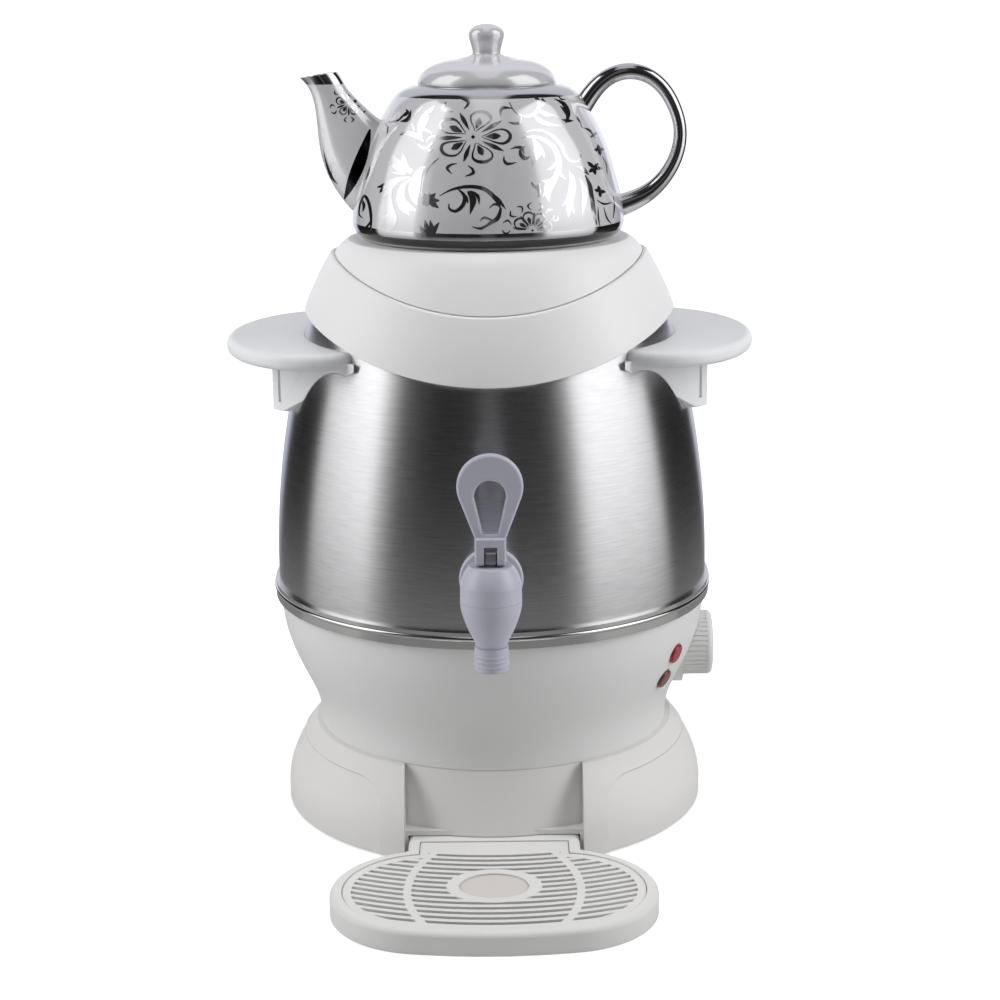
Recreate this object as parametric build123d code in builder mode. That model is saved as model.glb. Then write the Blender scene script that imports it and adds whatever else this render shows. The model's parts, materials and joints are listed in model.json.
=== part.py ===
from build123d import *
import os
from math import atan2, cos, degrees, radians, sin, sqrt

os.makedirs("parts", exist_ok=True)

# An electric samovar: a brushed steel tank on a moulded stand, with a drinks tap in front, a drip
# tray under it, a lid that carries a porcelain teapot in the steam, and the heater, thermostat and
# wiring in the lower housing. Millimetres. Z is up from the table, -Y is the front, +X is the
# right-hand side as seen from the front, and the Z axis is the axis of the tank.

# ---------------------------------------------------------------- driving dimensions
# Clearances
running_gap = 0.08      # a pin or shaft in its hole, on the radius
slip_gap = 0.3          # between lift-off or sliding pieces
trim_gap = 0.1          # between fixed pieces that don't touch face to face
overcut = 30.0          # how far a cutting volume runs on past the piece it cuts

# Tank: its radius and its rim's height set where the stand, housing, tap, handles and lid go
tank_r = 111.6
tank_wall = 1.0
tank_foot_z = 113.8
tank_floor_z = 127.0
tank_shoulder_z = 127.3
tank_barrel_rho = 446.0
tank_rim_z = 261.2
tank_rim_width = 3.0
trim_height = 8.2
trim_thickness = 1.9
trim_bead_r = 1.3
stud_ring_r = tank_r - 29.6
stud_r = 2.5
stud_tail = 1.5

# Lower housing
housing_neck_r = tank_r - 20.3
housing_belly = [(tank_r - 17.7, 60.0), (tank_r - 9.8, 77.4), (tank_r - 3.5, 94.0)]
housing_rim_r = tank_r - 0.4
housing_top_z = tank_foot_z - 0.4
housing_wall = 2.8
housing_floor_z = 46.2
housing_rim_width = 6.5
housing_rim_depth = 2.4
housing_boss_rise = 5.0
housing_floor_lap = 0.4

# Stand
foot_height = 1.2
stand_foot_r = tank_r - 0.9
stand_shoulder_r = housing_neck_r + 4.0
stand_flare_z = 8.0
stand_shoulder_z = 42.6
stand_top_z = 43.6
stand_wall = 3.0
stand_plate = 2.6
stand_opening_r = housing_neck_r - 23.3
panel_depth = 0.9
panel_top_z = 35.8
panel_front_half = 57.2
panel_corner_r = 10.0
recess_half = 44.2
recess_top_r = housing_neck_r - 0.3
recess_low_r = recess_top_r + 8.0
recess_wall = 2.6
cover_thickness = 2.2
cover_pad_r = 26.0
foot_ring_r = stand_foot_r - 12.7
foot_r = 7.0
foot_peg_r = 3.0
foot_peg_height = 6.0
boss_r = 5.0
screw_ring_r = housing_neck_r - 11.3
cover_screw_ring_r = screw_ring_r + 10.0
screw_r = 1.9
screw_length = 11.0
screw_hole_depth = 12.0
screw_head_r = 3.6
screw_head_height = 2.4
countersink_depth = 1.6

# Heater and controls
heater_plate_r = tank_r - 41.6
heater_plate_thickness = 4.0
heater_chamfer = 1.2
element_ring_r = heater_plate_r - 20.0
element_tube_r = 4.0
element_arc = 300.0
element_leg = 16.0
element_pin_r = 1.4
element_pin_length = 12.0
cutout_y = -12.0
cutout_r = 9.0
cutout_height = 8.0
cutout_tab_x = 4.0
cutout_strap = (34.0, 6.0, 1.2)
tab_thickness = 0.8
tab_width = 6.3
tab_length = 7.0
bulb_length = 5.0
bulb_r = 2.6
knob_z = 80.0
knob_seat_x = tank_r - 11.6
knob_r = 17.0
knob_length = 15.6
knob_wall = 2.4
knob_edge_r = 2.6
knob_hub_r = 5.5
knob_hub_depth = 6.5
knob_rib_count = 40
knob_groove_r = 0.55
seat_depth = 16.0       # of the sunk seats of the knob and the inlet
thermostat_width = 26.0
thermostat_height = 22.4
thermostat_depth = 19.0
thermostat_face = 3.0
bushing_r = 5.0
shaft_r = 3.0
heating_lamp_z = 91.5
heating_lamp_angle = -30.6
warm_lamp_z = 78.0
warm_lamp_angle = -32.0
lamp_r = 5.3
lamp_dome = 1.4
lamp_wall = 1.3
lamp_tail = 3.0
inlet_z = 74.0
inlet_seat_y = tank_r - 10.6
inlet_width = 27.0
inlet_height = 19.5
inlet_depth = 20.0
inlet_flange = 3.5
inlet_flange_thickness = 2.4
inlet_wall = 1.5
inlet_margin = 2.5
block_y = 38.0
block_width = 52.0
block_depth = 18.0
block_height = 14.0
pole_count = 5
pole_pitch = 10.4
pole_r = 3.0
terminal_screw_height = 10.0
lead_r = 1.1

# Side handles
handle_top_z = tank_rim_z - 12.2
handle_thickness = 8.0
handle_centre_x = tank_r - 26.6
handle_reach = 49.0
handle_half_length = 74.0
handle_edge_r = 3.4
bracket_low_z = handle_top_z - 36.0
bracket_outer_x = tank_r - 1.6
bracket_half_width = 22.0
bracket_wall = 3.0
bracket_corner_r = 3.0
pillar_r = 4.2
gusset_panel_depth = 1.0
handle_screw_low_z = bracket_low_z + 8.0
handle_screw_high_z = bracket_low_z + 20.0
handle_screw_r = 2.0
handle_washer_r = 4.6
handle_washer_thickness = 0.8

# Collar and lid share one domed surface: an arc turned about the axis
dome_centre_r = tank_r - 154.0
dome_centre_z = tank_rim_z - 48.9
dome_rho = 145.3
collar_wall = 4.4
collar_low_z = tank_rim_z - 23.6
collar_low_arch = 190.0
collar_edge_z = tank_rim_z + 8.1
collar_edge_arch = 156.0
collar_step = 1.9
collar_edge_r = 1.5
collar_mouth_r = tank_r - 35.6
collar_ring_thickness = 2.1
collar_tank_gap = 0.4
rim_seal_thickness = 1.0
lid_wall = 2.5
lid_shoulder_z = tank_rim_z + 29.8
seat_z = tank_rim_z + 35.6
seat_r = tank_r - 40.6
steam_opening_r = seat_r - 17.0
steam_plate_r = steam_opening_r + 4.0
steam_plate_thickness = 1.0
steam_hole_r = 3.5
lid_skirt_r = collar_mouth_r - 1.6
lid_skirt_wall = 2.2
lug_ring_r = tank_r - 29.1
lug_width = 9.0
lug_depth = 5.0

# Tap
tap_y = -tank_r - 42.4
tap_shank_z = tank_floor_z + 22.0
tap_body_r = 14.15
tap_seam_z = tap_shank_z + 1.5
tap_body_low_z = tap_shank_z - 20.3
nozzle_low_z = tap_body_low_z - 11.1
nozzle_r = 7.8
nozzle_bore_r = 5.2
nozzle_thread_length = 8.0
outlet_r = 4.3
tap_seat_z = tap_body_low_z + 4.3
bonnet_band_height = 8.0
bonnet_top_z = tap_seam_z + 16.5
bonnet_top_r = 10.6
tap_neck_r = 10.0
flange_r = 15.2
flange_thickness = 4.0
washer_thickness = 1.6
shank_r = 8.7
shank_bore_r = 6.0
shank_end_y = -tank_r + 15.6
nut_flats = 24.0
nut_thickness = 6.0
stem_r = 2.0
stem_eye_r = 2.7
cup_r = 5.6
cup_height = 6.0
lever_pin_height = 6.3
lever_pin_r = 1.3
lever_width = 14.2
lever_depth = 14.0
lever_block_height = 13.0
lever_corner_r = 4.5
lever_slot_width = 5.8
loop_centre_z = bonnet_top_z + 36.4
loop_r = 15.0
loop_hole_r = 7.1
loop_hole_z = loop_centre_z - 4.2
loop_neck_z = bonnet_top_z + 15.0
loop_neck_width = 6.8
loop_thickness = 5.0
loop_edge_r = 1.5
spring_wire_r = 0.45
spring_coil_r = 4.2
spring_turns = 7.0

# Drip tray
tray_bottom_z = 0.3
tray_top_z = 11.3
tray_corner_r = 46.0
tray_corner_x = 31.0
tray_corner_y = tap_y - 4.0
tray_front_y = tap_y - 52.6
tray_wall = 2.4
tray_floor = 2.0
tray_rim_width = 5.6
tray_edge_r = 2.6
tongue_half = recess_half - 2.0
tongue_end_y = -stand_foot_r + 36.7
tongue_low_z = 3.8
tongue_length = 50.0
tongue_hollow = 26.0
grille_drop = 0.5
grille_thickness = 2.2
grille_border = 4.4
grille_back_y = -stand_foot_r + 7.7
grille_pitch = 5.35
grille_slot = 2.5
grille_first_y = grille_back_y - 17.4
grille_rows = 15
grille_bow_r = 170.0
grille_ring_x = 22.5
grille_ring_y = 18.7
grille_rib_r = 83.5
grille_rib_x = 42.9
grille_rib_width = 3.8
disc_y = tap_y - 0.5
disc_half_x = 16.4
disc_half_y = 13.8
disc_thickness = 1.6
disc_drop = 0.8
disc_border = 2.5

# Teapot: heights are above its own bottom
pot_bottom_z = seat_z + 0.2
pot_bottom_r = 62.0
pot_foot_depth = 1.5
pot_floor = 4.0
pot_belly_r = 68.6
pot_belly_height = 8.5
pot_side = [(65.0, 28.0), (58.8, 48.0), (51.0, 63.0)]
pot_shoulder_r = 43.0
pot_shoulder_height = 73.0
pot_neck_r = 36.6
pot_height = 75.5
pot_wall = 3.2
pot_mouth_r = 32.6
strainer_hole_r = 2.0
# Strainer holes: distance across the spout and height
strainer_holes = [(0, 19.0), (-6, 26.0), (6, 26.0), (0, 33.0), (-5, 40.0), (5, 40.0)]
vent_hole_r = 1.2
vent_y = 20.0
pot_lid_r = 34.6
pot_lid_plug = 8.0
pot_lid_rim = 1.6
# Lid's dome and knob: radius and height above the pot's rim
pot_lid_dome = [(30.0, 8.1), (21.6, 11.5)]
pot_lid_dome_end = (10.5, 13.7)
pot_knob_side = [(7.5, 15.3), (8.2, 19.5), (9.3, 24.1), (7.6, 28.0)]
pot_knob_height = 29.5
spout_wall = 2.4
# Spout sections: lower point (x, height), upper point (x, height), half width across the spout
spout_sections = [
    ((-57.0, 8.0), (-40.0, 54.0), 17.0),
    ((-69.4, 14.2), (-53.7, 58.9), 15.5),
    ((-80.6, 31.5), (-60.8, 64.8), 12.5),
    ((-84.3, 45.0), (-66.2, 70.2), 10.0),
    ((-85.6, 60.5), (-70.3, 75.2), 8.2),
    ((-93.5, 79.6), (-74.6, 82.4), 7.9),
]
# Teapot handle: centre line (x, height) and thickness, from the lower root to the upper root
pot_handle_line = [
    ((60.0, 11.5), 12.5),
    ((68.5, 15.4), 11.0),
    ((82.2, 22.2), 8.8),
    ((92.4, 34.1), 7.4),
    ((96.7, 50.0), 6.7),
    ((93.4, 64.0), 6.9),
    ((84.6, 76.2), 7.3),
    ((71.8, 81.2), 8.0),
    ((59.4, 77.6), 8.6),
    ((51.0, 69.0), 9.6),
    ((44.0, 60.0), 10.6),
]
pot_handle_width = 1.15

# ---------------------------------------------------------------- derived sizes
stand_under_z = stand_top_z - stand_plate
cover_top_z = foot_height + cover_thickness
tunnel_roof_z = tray_top_z + slip_gap
tunnel_half = tongue_half + slip_gap
tunnel_end_y = tongue_end_y + slip_gap
tank_floor_under_z = tank_floor_z - tank_wall
heater_under_z = tank_floor_under_z - heater_plate_thickness
element_z = heater_under_z - element_tube_r
housing_floor_top_z = housing_floor_z + stand_plate
collar_ring_z = tank_rim_z + rim_seal_thickness
collar_ring_top_z = collar_ring_z + collar_ring_thickness
bonnet_seat_z = tap_seam_z + bonnet_band_height
lever_low_z = bonnet_top_z + slip_gap
lever_pin_z = lever_low_z + lever_pin_height
lever_top_z = lever_low_z + lever_block_height
cup_low_z = tap_seat_z + trim_gap
cup_top_z = cup_low_z + cup_height
grille_top_z = tray_top_z - grille_drop
grille_low_z = grille_top_z - grille_thickness
UP = (Align.CENTER, Align.CENTER, Align.MIN)
DOWN = (Align.CENTER, Align.CENTER, Align.MAX)


def stand_r(z):
    """Radius of the stand's skirt at height z: upright at the foot, flaring in to the shoulder."""
    rise = max(0.0, z - stand_flare_z) / (stand_shoulder_z - stand_flare_z)
    return stand_foot_r - (stand_foot_r - stand_shoulder_r) * rise**2


def tank_radius(z, inset=0.0):
    """Outside radius of the tank's barrel at height z, or of a surface inset from it."""
    drop = max(0.0, z - tank_shoulder_z)
    return tank_r - tank_barrel_rho + sqrt((tank_barrel_rho - inset) ** 2 - drop**2)


def dome_radius(z, depth=0.0):
    """Radius at height z of the collar's dome, or of a surface at a depth below it."""
    return dome_centre_r + sqrt((dome_rho - depth) ** 2 - (z - dome_centre_z) ** 2)


def dome_height(r, depth=0.0):
    """Height at radius r of the collar's dome, or of a surface at a depth below it."""
    return dome_centre_z + sqrt((dome_rho - depth) ** 2 - (r - dome_centre_r) ** 2)


def on_circle(radius, angle):
    """The point of a plan circle at an angle in degrees from +X."""
    return (radius * cos(radians(angle)), radius * sin(radians(angle)))


def housing_points(inset):
    """Points of the housing's side from its foot to its rim, moved in by an inset."""
    foot = (housing_neck_r - inset, stand_top_z)
    rim = (housing_rim_r - inset, housing_top_z)
    return [foot] + [(r - inset, z) for r, z in housing_belly] + [rim]


housing_side = Spline(housing_points(0), tangents=[(0, 1), (0.13, 1)])


def housing_slope(z):
    """Radius of the housing's side at height z, and how far it leans out there, in degrees."""
    low, high = 0.0, 1.0
    while high - low > 1e-5:
        middle = (low + high) / 2
        if (housing_side @ middle).Y < z:
            low = middle
        else:
            high = middle
    tangent = housing_side % low
    return (housing_side @ low).X, degrees(atan2(tangent.X, tangent.Y))


def lamp_plane(z, angle, depth=0.0):
    """Plane of a lamp hole: its normal points straight out of the housing's side."""
    radius, lean = housing_slope(z)
    x, y = on_circle(1.0, angle)
    out = Vector(x * cos(radians(lean)), y * cos(radians(lean)), -sin(radians(lean)))
    centre = Vector(radius * x, radius * y, z) - out * depth
    return Plane(origin=centre, x_dir=(-y, x, 0), z_dir=out)


# ---------------------------------------------------------------- shared cutting volumes
def barrel(inset, low_z, high_z):
    """Solid of the tank's barrel shape, inset from the outside, between two heights."""
    middle_z = (tank_shoulder_z + high_z) / 2
    with BuildPart() as volume:
        with BuildSketch(Plane.XZ):
            with BuildLine():
                Line((0, low_z), (tank_r - inset, low_z))
                Line((tank_r - inset, low_z), (tank_r - inset, tank_shoulder_z))
                ThreePointArc(
                    (tank_r - inset, tank_shoulder_z),
                    (tank_radius(middle_z, inset), middle_z),
                    (tank_radius(high_z, inset), high_z),
                )
                Line((tank_radius(high_z, inset), high_z), (0, high_z))
                Line((0, high_z), (0, low_z))
            make_face()
        revolve(axis=Axis.Z)
    return volume.part


def dome(depth, low_z, high_z):
    """Solid under the dome's surface at a depth below it, between two heights."""
    middle_z = (low_z + high_z) / 2
    with BuildPart() as volume:
        with BuildSketch(Plane.XZ):
            with BuildLine():
                Line((0, low_z), (dome_radius(low_z, depth), low_z))
                ThreePointArc(
                    (dome_radius(low_z, depth), low_z),
                    (dome_radius(middle_z, depth), middle_z),
                    (dome_radius(high_z, depth), high_z),
                )
                Line((dome_radius(high_z, depth), high_z), (0, high_z))
                Line((0, high_z), (0, low_z))
            make_face()
        revolve(axis=Axis.Z)
    return volume.part


def arch(radius, lowest_z):
    """Long cylinder along Y whose lowest line is at a height: it cuts an arched edge."""
    with BuildPart() as volume:
        with Locations(Location((0, 0, lowest_z + radius), (90, 0, 0))):
            Cylinder(radius, 4 * tank_r)
    return volume.part


tank_volume = barrel(0, tank_foot_z, tank_rim_z)

# ---------------------------------------------------------------- stand
stand_levels = [stand_flare_z + (stand_shoulder_z - stand_flare_z) * step / 3 for step in range(4)]
shoulder_slope = -2 * (stand_foot_r - stand_shoulder_r) / (stand_shoulder_z - stand_flare_z)

with BuildPart() as skirt_volume:
    with BuildSketch(Plane.XZ):
        with BuildLine():
            Line((0, foot_height), (stand_foot_r, foot_height))
            Line((stand_foot_r, foot_height), (stand_foot_r, stand_flare_z))
            Spline([(stand_r(z), z) for z in stand_levels], tangents=[(0, 1), (shoulder_slope, 1)])
            Line((stand_shoulder_r, stand_shoulder_z), (stand_shoulder_r - 1, stand_top_z))
            Line((stand_shoulder_r - 1, stand_top_z), (0, stand_top_z))
            Line((0, stand_top_z), (0, foot_height))
        make_face()
    revolve(axis=Axis.Z)

with BuildPart() as skirt_cavity:
    with BuildSketch(Plane.XZ):
        top_r = stand_r(stand_under_z) - stand_wall
        inner_levels = [
            stand_flare_z + (stand_under_z - stand_flare_z) * step / 3 for step in range(4)
        ]
        with BuildLine():
            Line((0, 0), (stand_foot_r - stand_wall, 0))
            Line((stand_foot_r - stand_wall, 0), (stand_foot_r - stand_wall, stand_flare_z))
            Spline(
                [(stand_r(z) - stand_wall, z) for z in inner_levels],
                tangents=[(0, 1), (shoulder_slope, 1)],
            )
            Line((top_r, stand_under_z), (0, stand_under_z))
            Line((0, stand_under_z), (0, 0))
        make_face()
    revolve(axis=Axis.Z)

# Space in front of the stand's recess: between its side walls, out from its curved back wall
with BuildPart() as recess_space:
    with BuildSketch(Plane.XY):
        with Locations((0, -stand_foot_r)):
            Rectangle(2 * recess_half, 2 * (stand_foot_r - recess_half))
    extrude(amount=stand_top_z + 1)
    with BuildSketch(Plane.XZ):
        with BuildLine():
            Polyline(
                (0, -1),
                (recess_low_r + (recess_low_r - recess_top_r) / 3, -1),
                (recess_low_r, tunnel_roof_z),
                (recess_top_r, stand_top_z),
                (recess_top_r, stand_top_z + 2),
                (0, stand_top_z + 2),
                close=True,
            )
        make_face()
    revolve(axis=Axis.Z, mode=Mode.SUBTRACT)

with BuildPart() as recess_back_cavity:
    with BuildSketch(Plane.XZ):
        with BuildLine():
            Polyline(
                (0, 0),
                (recess_low_r - recess_wall, 0),
                (recess_low_r - recess_wall, tunnel_roof_z),
                (recess_top_r - recess_wall, stand_under_z),
                (0, stand_under_z),
                close=True,
            )
        make_face()
    revolve(axis=Axis.Z)

foot_spots = [on_circle(foot_ring_r, 45 + 90 * turn) for turn in range(4)]
screw_spots = [on_circle(screw_ring_r, angle) for angle in (0, 90, 150, 210, 330)]
cover_screw_spots = [on_circle(cover_screw_ring_r, angle) for angle in (20, 110, 160, 230, 310)]

with BuildPart() as recess_walls:
    add(skirt_volume.part)
    with BuildSketch(Plane.XY):
        with Locations((0, -stand_foot_r)):
            Rectangle(2 * (recess_half + recess_wall), 2 * (stand_foot_r - recess_half))
    extrude(amount=stand_top_z, mode=Mode.INTERSECT)
    add(recess_back_cavity.part, mode=Mode.SUBTRACT)

# Skin cut away for the panel round the skirt, which leaves a proud band above it and in front
with BuildPart() as panel_skin:
    add(skirt_volume.part)
    with BuildSketch(Plane.XZ):
        with BuildLine():
            Line((0, 0), (stand_foot_r - panel_depth, 0))
            Line((stand_foot_r - panel_depth, 0), (stand_foot_r - panel_depth, stand_flare_z))
            Spline(
                [(stand_r(z) - panel_depth, z) for z in stand_levels],
                tangents=[(0, 1), (shoulder_slope, 1)],
            )
            Line((stand_shoulder_r - panel_depth, stand_shoulder_z), (0, stand_shoulder_z))
            Line((0, stand_shoulder_z), (0, 0))
        make_face()
    revolve(axis=Axis.Z, mode=Mode.SUBTRACT)
    with BuildSketch(Plane.XY):
        Circle(2 * stand_foot_r)
    extrude(amount=panel_top_z, mode=Mode.INTERSECT)
    with BuildSketch(Plane.XZ):
        with Locations((0, -panel_corner_r)):
            Rectangle(
                2 * panel_front_half, panel_top_z + panel_corner_r, align=(Align.CENTER, Align.MIN)
            )
        for side in (-1, 1):
            with Locations((side * panel_front_half, panel_top_z)):
                Rectangle(2 * panel_corner_r, 2 * panel_corner_r)
            with Locations((side * (panel_front_half + panel_corner_r), panel_top_z - panel_corner_r)):
                Circle(panel_corner_r, mode=Mode.SUBTRACT)
    extrude(amount=2 * stand_foot_r, mode=Mode.SUBTRACT)

with BuildPart() as base_stand:
    add(skirt_volume.part)
    add(panel_skin.part, mode=Mode.SUBTRACT)
    add(skirt_cavity.part, mode=Mode.SUBTRACT)
    add(recess_walls.part)
    add(recess_space.part, mode=Mode.SUBTRACT)
    # Tunnel that the tray's tongue slides into
    with BuildSketch(Plane.XY.offset(cover_top_z)):
        with Locations((0, tunnel_end_y + recess_wall)):
            Rectangle(
                2 * (tunnel_half + recess_wall),
                tunnel_end_y + recess_wall + recess_low_r - recess_wall,
                align=(Align.CENTER, Align.MAX),
            )
    extrude(amount=tunnel_roof_z + recess_wall - cover_top_z)
    with BuildSketch(Plane.XY):
        with Locations((0, tunnel_end_y)):
            Rectangle(2 * tunnel_half, stand_foot_r, align=(Align.CENTER, Align.MAX))
    extrude(amount=tunnel_roof_z, mode=Mode.SUBTRACT)
    # Bosses for the rubber feet and for the bottom cover's screws
    with BuildSketch(Plane.XY.offset(cover_top_z)):
        with Locations(*foot_spots):
            Circle(boss_r)
    extrude(until=Until.NEXT)
    with BuildSketch(Plane.XY.offset(cover_top_z)):
        with Locations(*cover_screw_spots):
            Circle(boss_r)
    extrude(amount=stand_under_z - cover_top_z + trim_gap)
    with Locations(*[(x, y, cover_top_z) for x, y in foot_spots]):
        Cylinder(foot_peg_r + running_gap, foot_peg_height + 1, align=UP, mode=Mode.SUBTRACT)
    with Locations(*[(x, y, cover_top_z) for x, y in cover_screw_spots]):
        Cylinder(screw_r, screw_hole_depth, align=UP, mode=Mode.SUBTRACT)
    # Opening for the leads, and holes for the screws that hold the housing
    with Locations((0, 0, stand_top_z)):
        Cylinder(stand_opening_r, 2 * stand_plate + 1, mode=Mode.SUBTRACT)
    with Locations(*[(x, y, stand_top_z) for x, y in screw_spots]):
        Cylinder(screw_r + trim_gap, 2 * stand_plate + 1, mode=Mode.SUBTRACT)

# Notch that clears the recess walls
cover_notch = Pos(0, -stand_foot_r) * Rectangle(
    2 * (recess_half + recess_wall + slip_gap), 2 * (stand_foot_r - recess_half)
) - Circle(recess_low_r - recess_wall - slip_gap)

with BuildPart() as bottom_cover:
    with BuildSketch(Plane.XY.offset(foot_height)):
        Circle(stand_foot_r - stand_wall - slip_gap)
        add(cover_notch, mode=Mode.SUBTRACT)
        with Locations(*foot_spots):
            Circle(foot_peg_r + running_gap, mode=Mode.SUBTRACT)
        with Locations(*cover_screw_spots):
            Circle(screw_r + trim_gap, mode=Mode.SUBTRACT)
    extrude(amount=cover_thickness)
    with Locations(*[(x, y, foot_height) for x, y in cover_screw_spots]):
        Cone(screw_head_r, screw_r + trim_gap, countersink_depth, align=UP, mode=Mode.SUBTRACT)
    # Round pad in the middle that bears on the table with the feet
    with Locations((0, 0, foot_height)):
        Cone(cover_pad_r, cover_pad_r - foot_height, foot_height, rotation=(180, 0, 0), align=UP)

with BuildPart() as rubber_feet:
    with Locations(*foot_spots):
        Cylinder(foot_r, foot_height, align=UP)
    with Locations(*[(x, y, foot_height) for x, y in foot_spots]):
        Cylinder(foot_peg_r, cover_thickness + foot_peg_height, align=UP)

with BuildPart() as cover_screws:
    with Locations(*[(x, y, foot_height) for x, y in cover_screw_spots]):
        Cone(screw_head_r - trim_gap, screw_r, countersink_depth, align=UP)
        Cylinder(screw_r, screw_hole_depth, align=UP)

with BuildPart() as housing_screws:
    with Locations(*[(x, y, stand_under_z) for x, y in screw_spots]):
        Cylinder(screw_head_r, screw_head_height, align=DOWN)
        Cylinder(screw_r, screw_length, align=UP)

# ---------------------------------------------------------------- lower housing
stud_spots = [on_circle(stud_ring_r, angle) for angle in (60, 180, 300)]
lamps = [(heating_lamp_z, heating_lamp_angle), (warm_lamp_z, warm_lamp_angle)]

with BuildPart() as housing_volume:
    with BuildSketch(Plane.XZ):
        with BuildLine():
            Line((0, stand_top_z), (housing_neck_r, stand_top_z))
            Spline(housing_points(0), tangents=[(0, 1), (0.13, 1)])
            Line((housing_rim_r, housing_top_z), (0, housing_top_z))
            Line((0, housing_top_z), (0, stand_top_z))
        make_face()
    revolve(axis=Axis.Z)

with BuildPart() as housing_cavity:
    with BuildSketch(Plane.XZ):
        with BuildLine():
            Line((0, stand_top_z), (housing_neck_r - housing_wall, stand_top_z))
            Spline(housing_points(housing_wall), tangents=[(0, 1), (0.13, 1)])
            Line((housing_rim_r - housing_wall, housing_top_z), (0, housing_top_z))
            Line((0, housing_top_z), (0, stand_top_z))
        make_face()
    revolve(axis=Axis.Z)

knob_recess_r = knob_r + 0.9
knob_boss_r = knob_recess_r + 2.7
inlet_recess_width = inlet_width + 2 * inlet_flange
inlet_recess_height = inlet_height + 2 * inlet_flange
inlet_boss_width = inlet_recess_width + 2 * inlet_margin
inlet_boss_height = inlet_recess_height + 2 * inlet_margin

with BuildPart() as side_bosses:
    # Sunk part of the knob's round seat and of the inlet's square seat
    with Locations(Location((knob_seat_x, 0, knob_z), (0, 90, 0))):
        Cylinder(knob_boss_r, 2 * seat_depth)
    with Locations((0, inlet_seat_y, inlet_z)):
        Box(inlet_boss_width, 2 * seat_depth, inlet_boss_height)
    add(housing_volume.part, mode=Mode.INTERSECT)

with BuildPart() as lower_housing:
    add(housing_volume.part)
    add(housing_cavity.part, mode=Mode.SUBTRACT)
    # Rim that the tank stands on, and the floor
    with BuildSketch(Plane.XY.offset(housing_top_z)):
        Circle(housing_rim_r - housing_wall / 2)
        Circle(housing_rim_r - housing_rim_width, mode=Mode.SUBTRACT)
    extrude(amount=-housing_rim_depth)
    with BuildSketch(Plane.XY.offset(housing_floor_z)):
        Circle(housing_neck_r - housing_wall + housing_floor_lap)
    extrude(amount=stand_plate)
    # Seats of the knob and the inlet, proud of the housing below and sunk into it above
    add(side_bosses.part)
    with Locations(Location((knob_seat_x, 0, knob_z), (0, 90, 0))):
        Cylinder(knob_boss_r, seat_depth, align=DOWN)
        Cylinder(knob_recess_r, overcut, align=UP, mode=Mode.SUBTRACT)
    with Locations(Location((knob_seat_x - housing_wall, 0, knob_z), (0, 90, 0))):
        Cylinder(knob_recess_r, overcut, align=DOWN, mode=Mode.SUBTRACT)
        Cylinder(bushing_r + trim_gap, overcut, mode=Mode.SUBTRACT)
    with Locations((0, inlet_seat_y, inlet_z)):
        Box(
            inlet_boss_width,
            seat_depth,
            inlet_boss_height,
            align=(Align.CENTER, Align.MAX, Align.CENTER),
        )
        Box(
            inlet_recess_width,
            overcut,
            inlet_recess_height,
            align=(Align.CENTER, Align.MIN, Align.CENTER),
            mode=Mode.SUBTRACT,
        )
    with Locations((0, inlet_seat_y - housing_wall, inlet_z)):
        Box(
            inlet_recess_width,
            overcut,
            inlet_recess_height,
            align=(Align.CENTER, Align.MAX, Align.CENTER),
            mode=Mode.SUBTRACT,
        )
    with Locations((0, inlet_seat_y, inlet_z)):
        Box(inlet_width + 2 * trim_gap, overcut, inlet_height + 2 * trim_gap, mode=Mode.SUBTRACT)
    # Lamp holes
    for lamp_z, lamp_angle in lamps:
        with Locations(lamp_plane(lamp_z, lamp_angle)):
            Cylinder(lamp_r + running_gap, 4 * housing_wall, mode=Mode.SUBTRACT)
    # Screw bosses under the floor, and stud holes through it
    with BuildSketch(Plane.XY.offset(stand_top_z)):
        with Locations(*screw_spots):
            Circle(boss_r)
    extrude(amount=housing_floor_z - stand_top_z + trim_gap)
    with BuildSketch(Plane.XY.offset(housing_floor_top_z - trim_gap)):
        with Locations(*screw_spots):
            Circle(boss_r)
    extrude(amount=housing_boss_rise)
    with Locations(*[(x, y, stand_top_z) for x, y in screw_spots]):
        Cylinder(screw_r, screw_length - 1.5, align=UP, mode=Mode.SUBTRACT)
    with Locations(*[(x, y, housing_floor_z) for x, y in stud_spots]):
        Cylinder(stud_r + trim_gap, 4 * stand_plate, mode=Mode.SUBTRACT)


def lens(z, angle):
    """Domed lens of an indicator lamp, pushed into its hole from outside."""
    with BuildPart() as piece:
        with Locations(lamp_plane(z, angle, housing_wall + lamp_tail)):
            Cylinder(lamp_r, housing_wall + lamp_tail + lamp_dome, align=UP)
        rim = piece.edges().filter_by(GeomType.CIRCLE).sort_by(lambda edge: edge.center().length)[-1]
        fillet(rim, lamp_dome * 0.8)
        with Locations(lamp_plane(z, angle, housing_wall + lamp_tail)):
            Cylinder(lamp_r - lamp_wall, housing_wall + 1, align=UP, mode=Mode.SUBTRACT)
    return piece


def neon(z, angle):
    """Neon bulb in a collar that pushes into the back of its lens."""
    with BuildPart() as piece:
        with Locations(lamp_plane(z, angle, housing_wall + lamp_tail)):
            Cylinder(lamp_r, bulb_length, align=DOWN)
            Cylinder(bulb_r, housing_wall, align=UP)
    return piece


heating_lamp_lens = lens(heating_lamp_z, heating_lamp_angle)
warm_lamp_lens = lens(warm_lamp_z, warm_lamp_angle)
heating_lamp_bulb = neon(heating_lamp_z, heating_lamp_angle)
warm_lamp_bulb = neon(warm_lamp_z, warm_lamp_angle)

# ---------------------------------------------------------------- controls and power inlet
thermostat_face_x = knob_seat_x - housing_wall
bushing_length = housing_wall + 4.0
knob_low_x = knob_seat_x + slip_gap
knob_end_x = knob_low_x + knob_length
shaft_end_x = knob_end_x - 4.0


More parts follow.
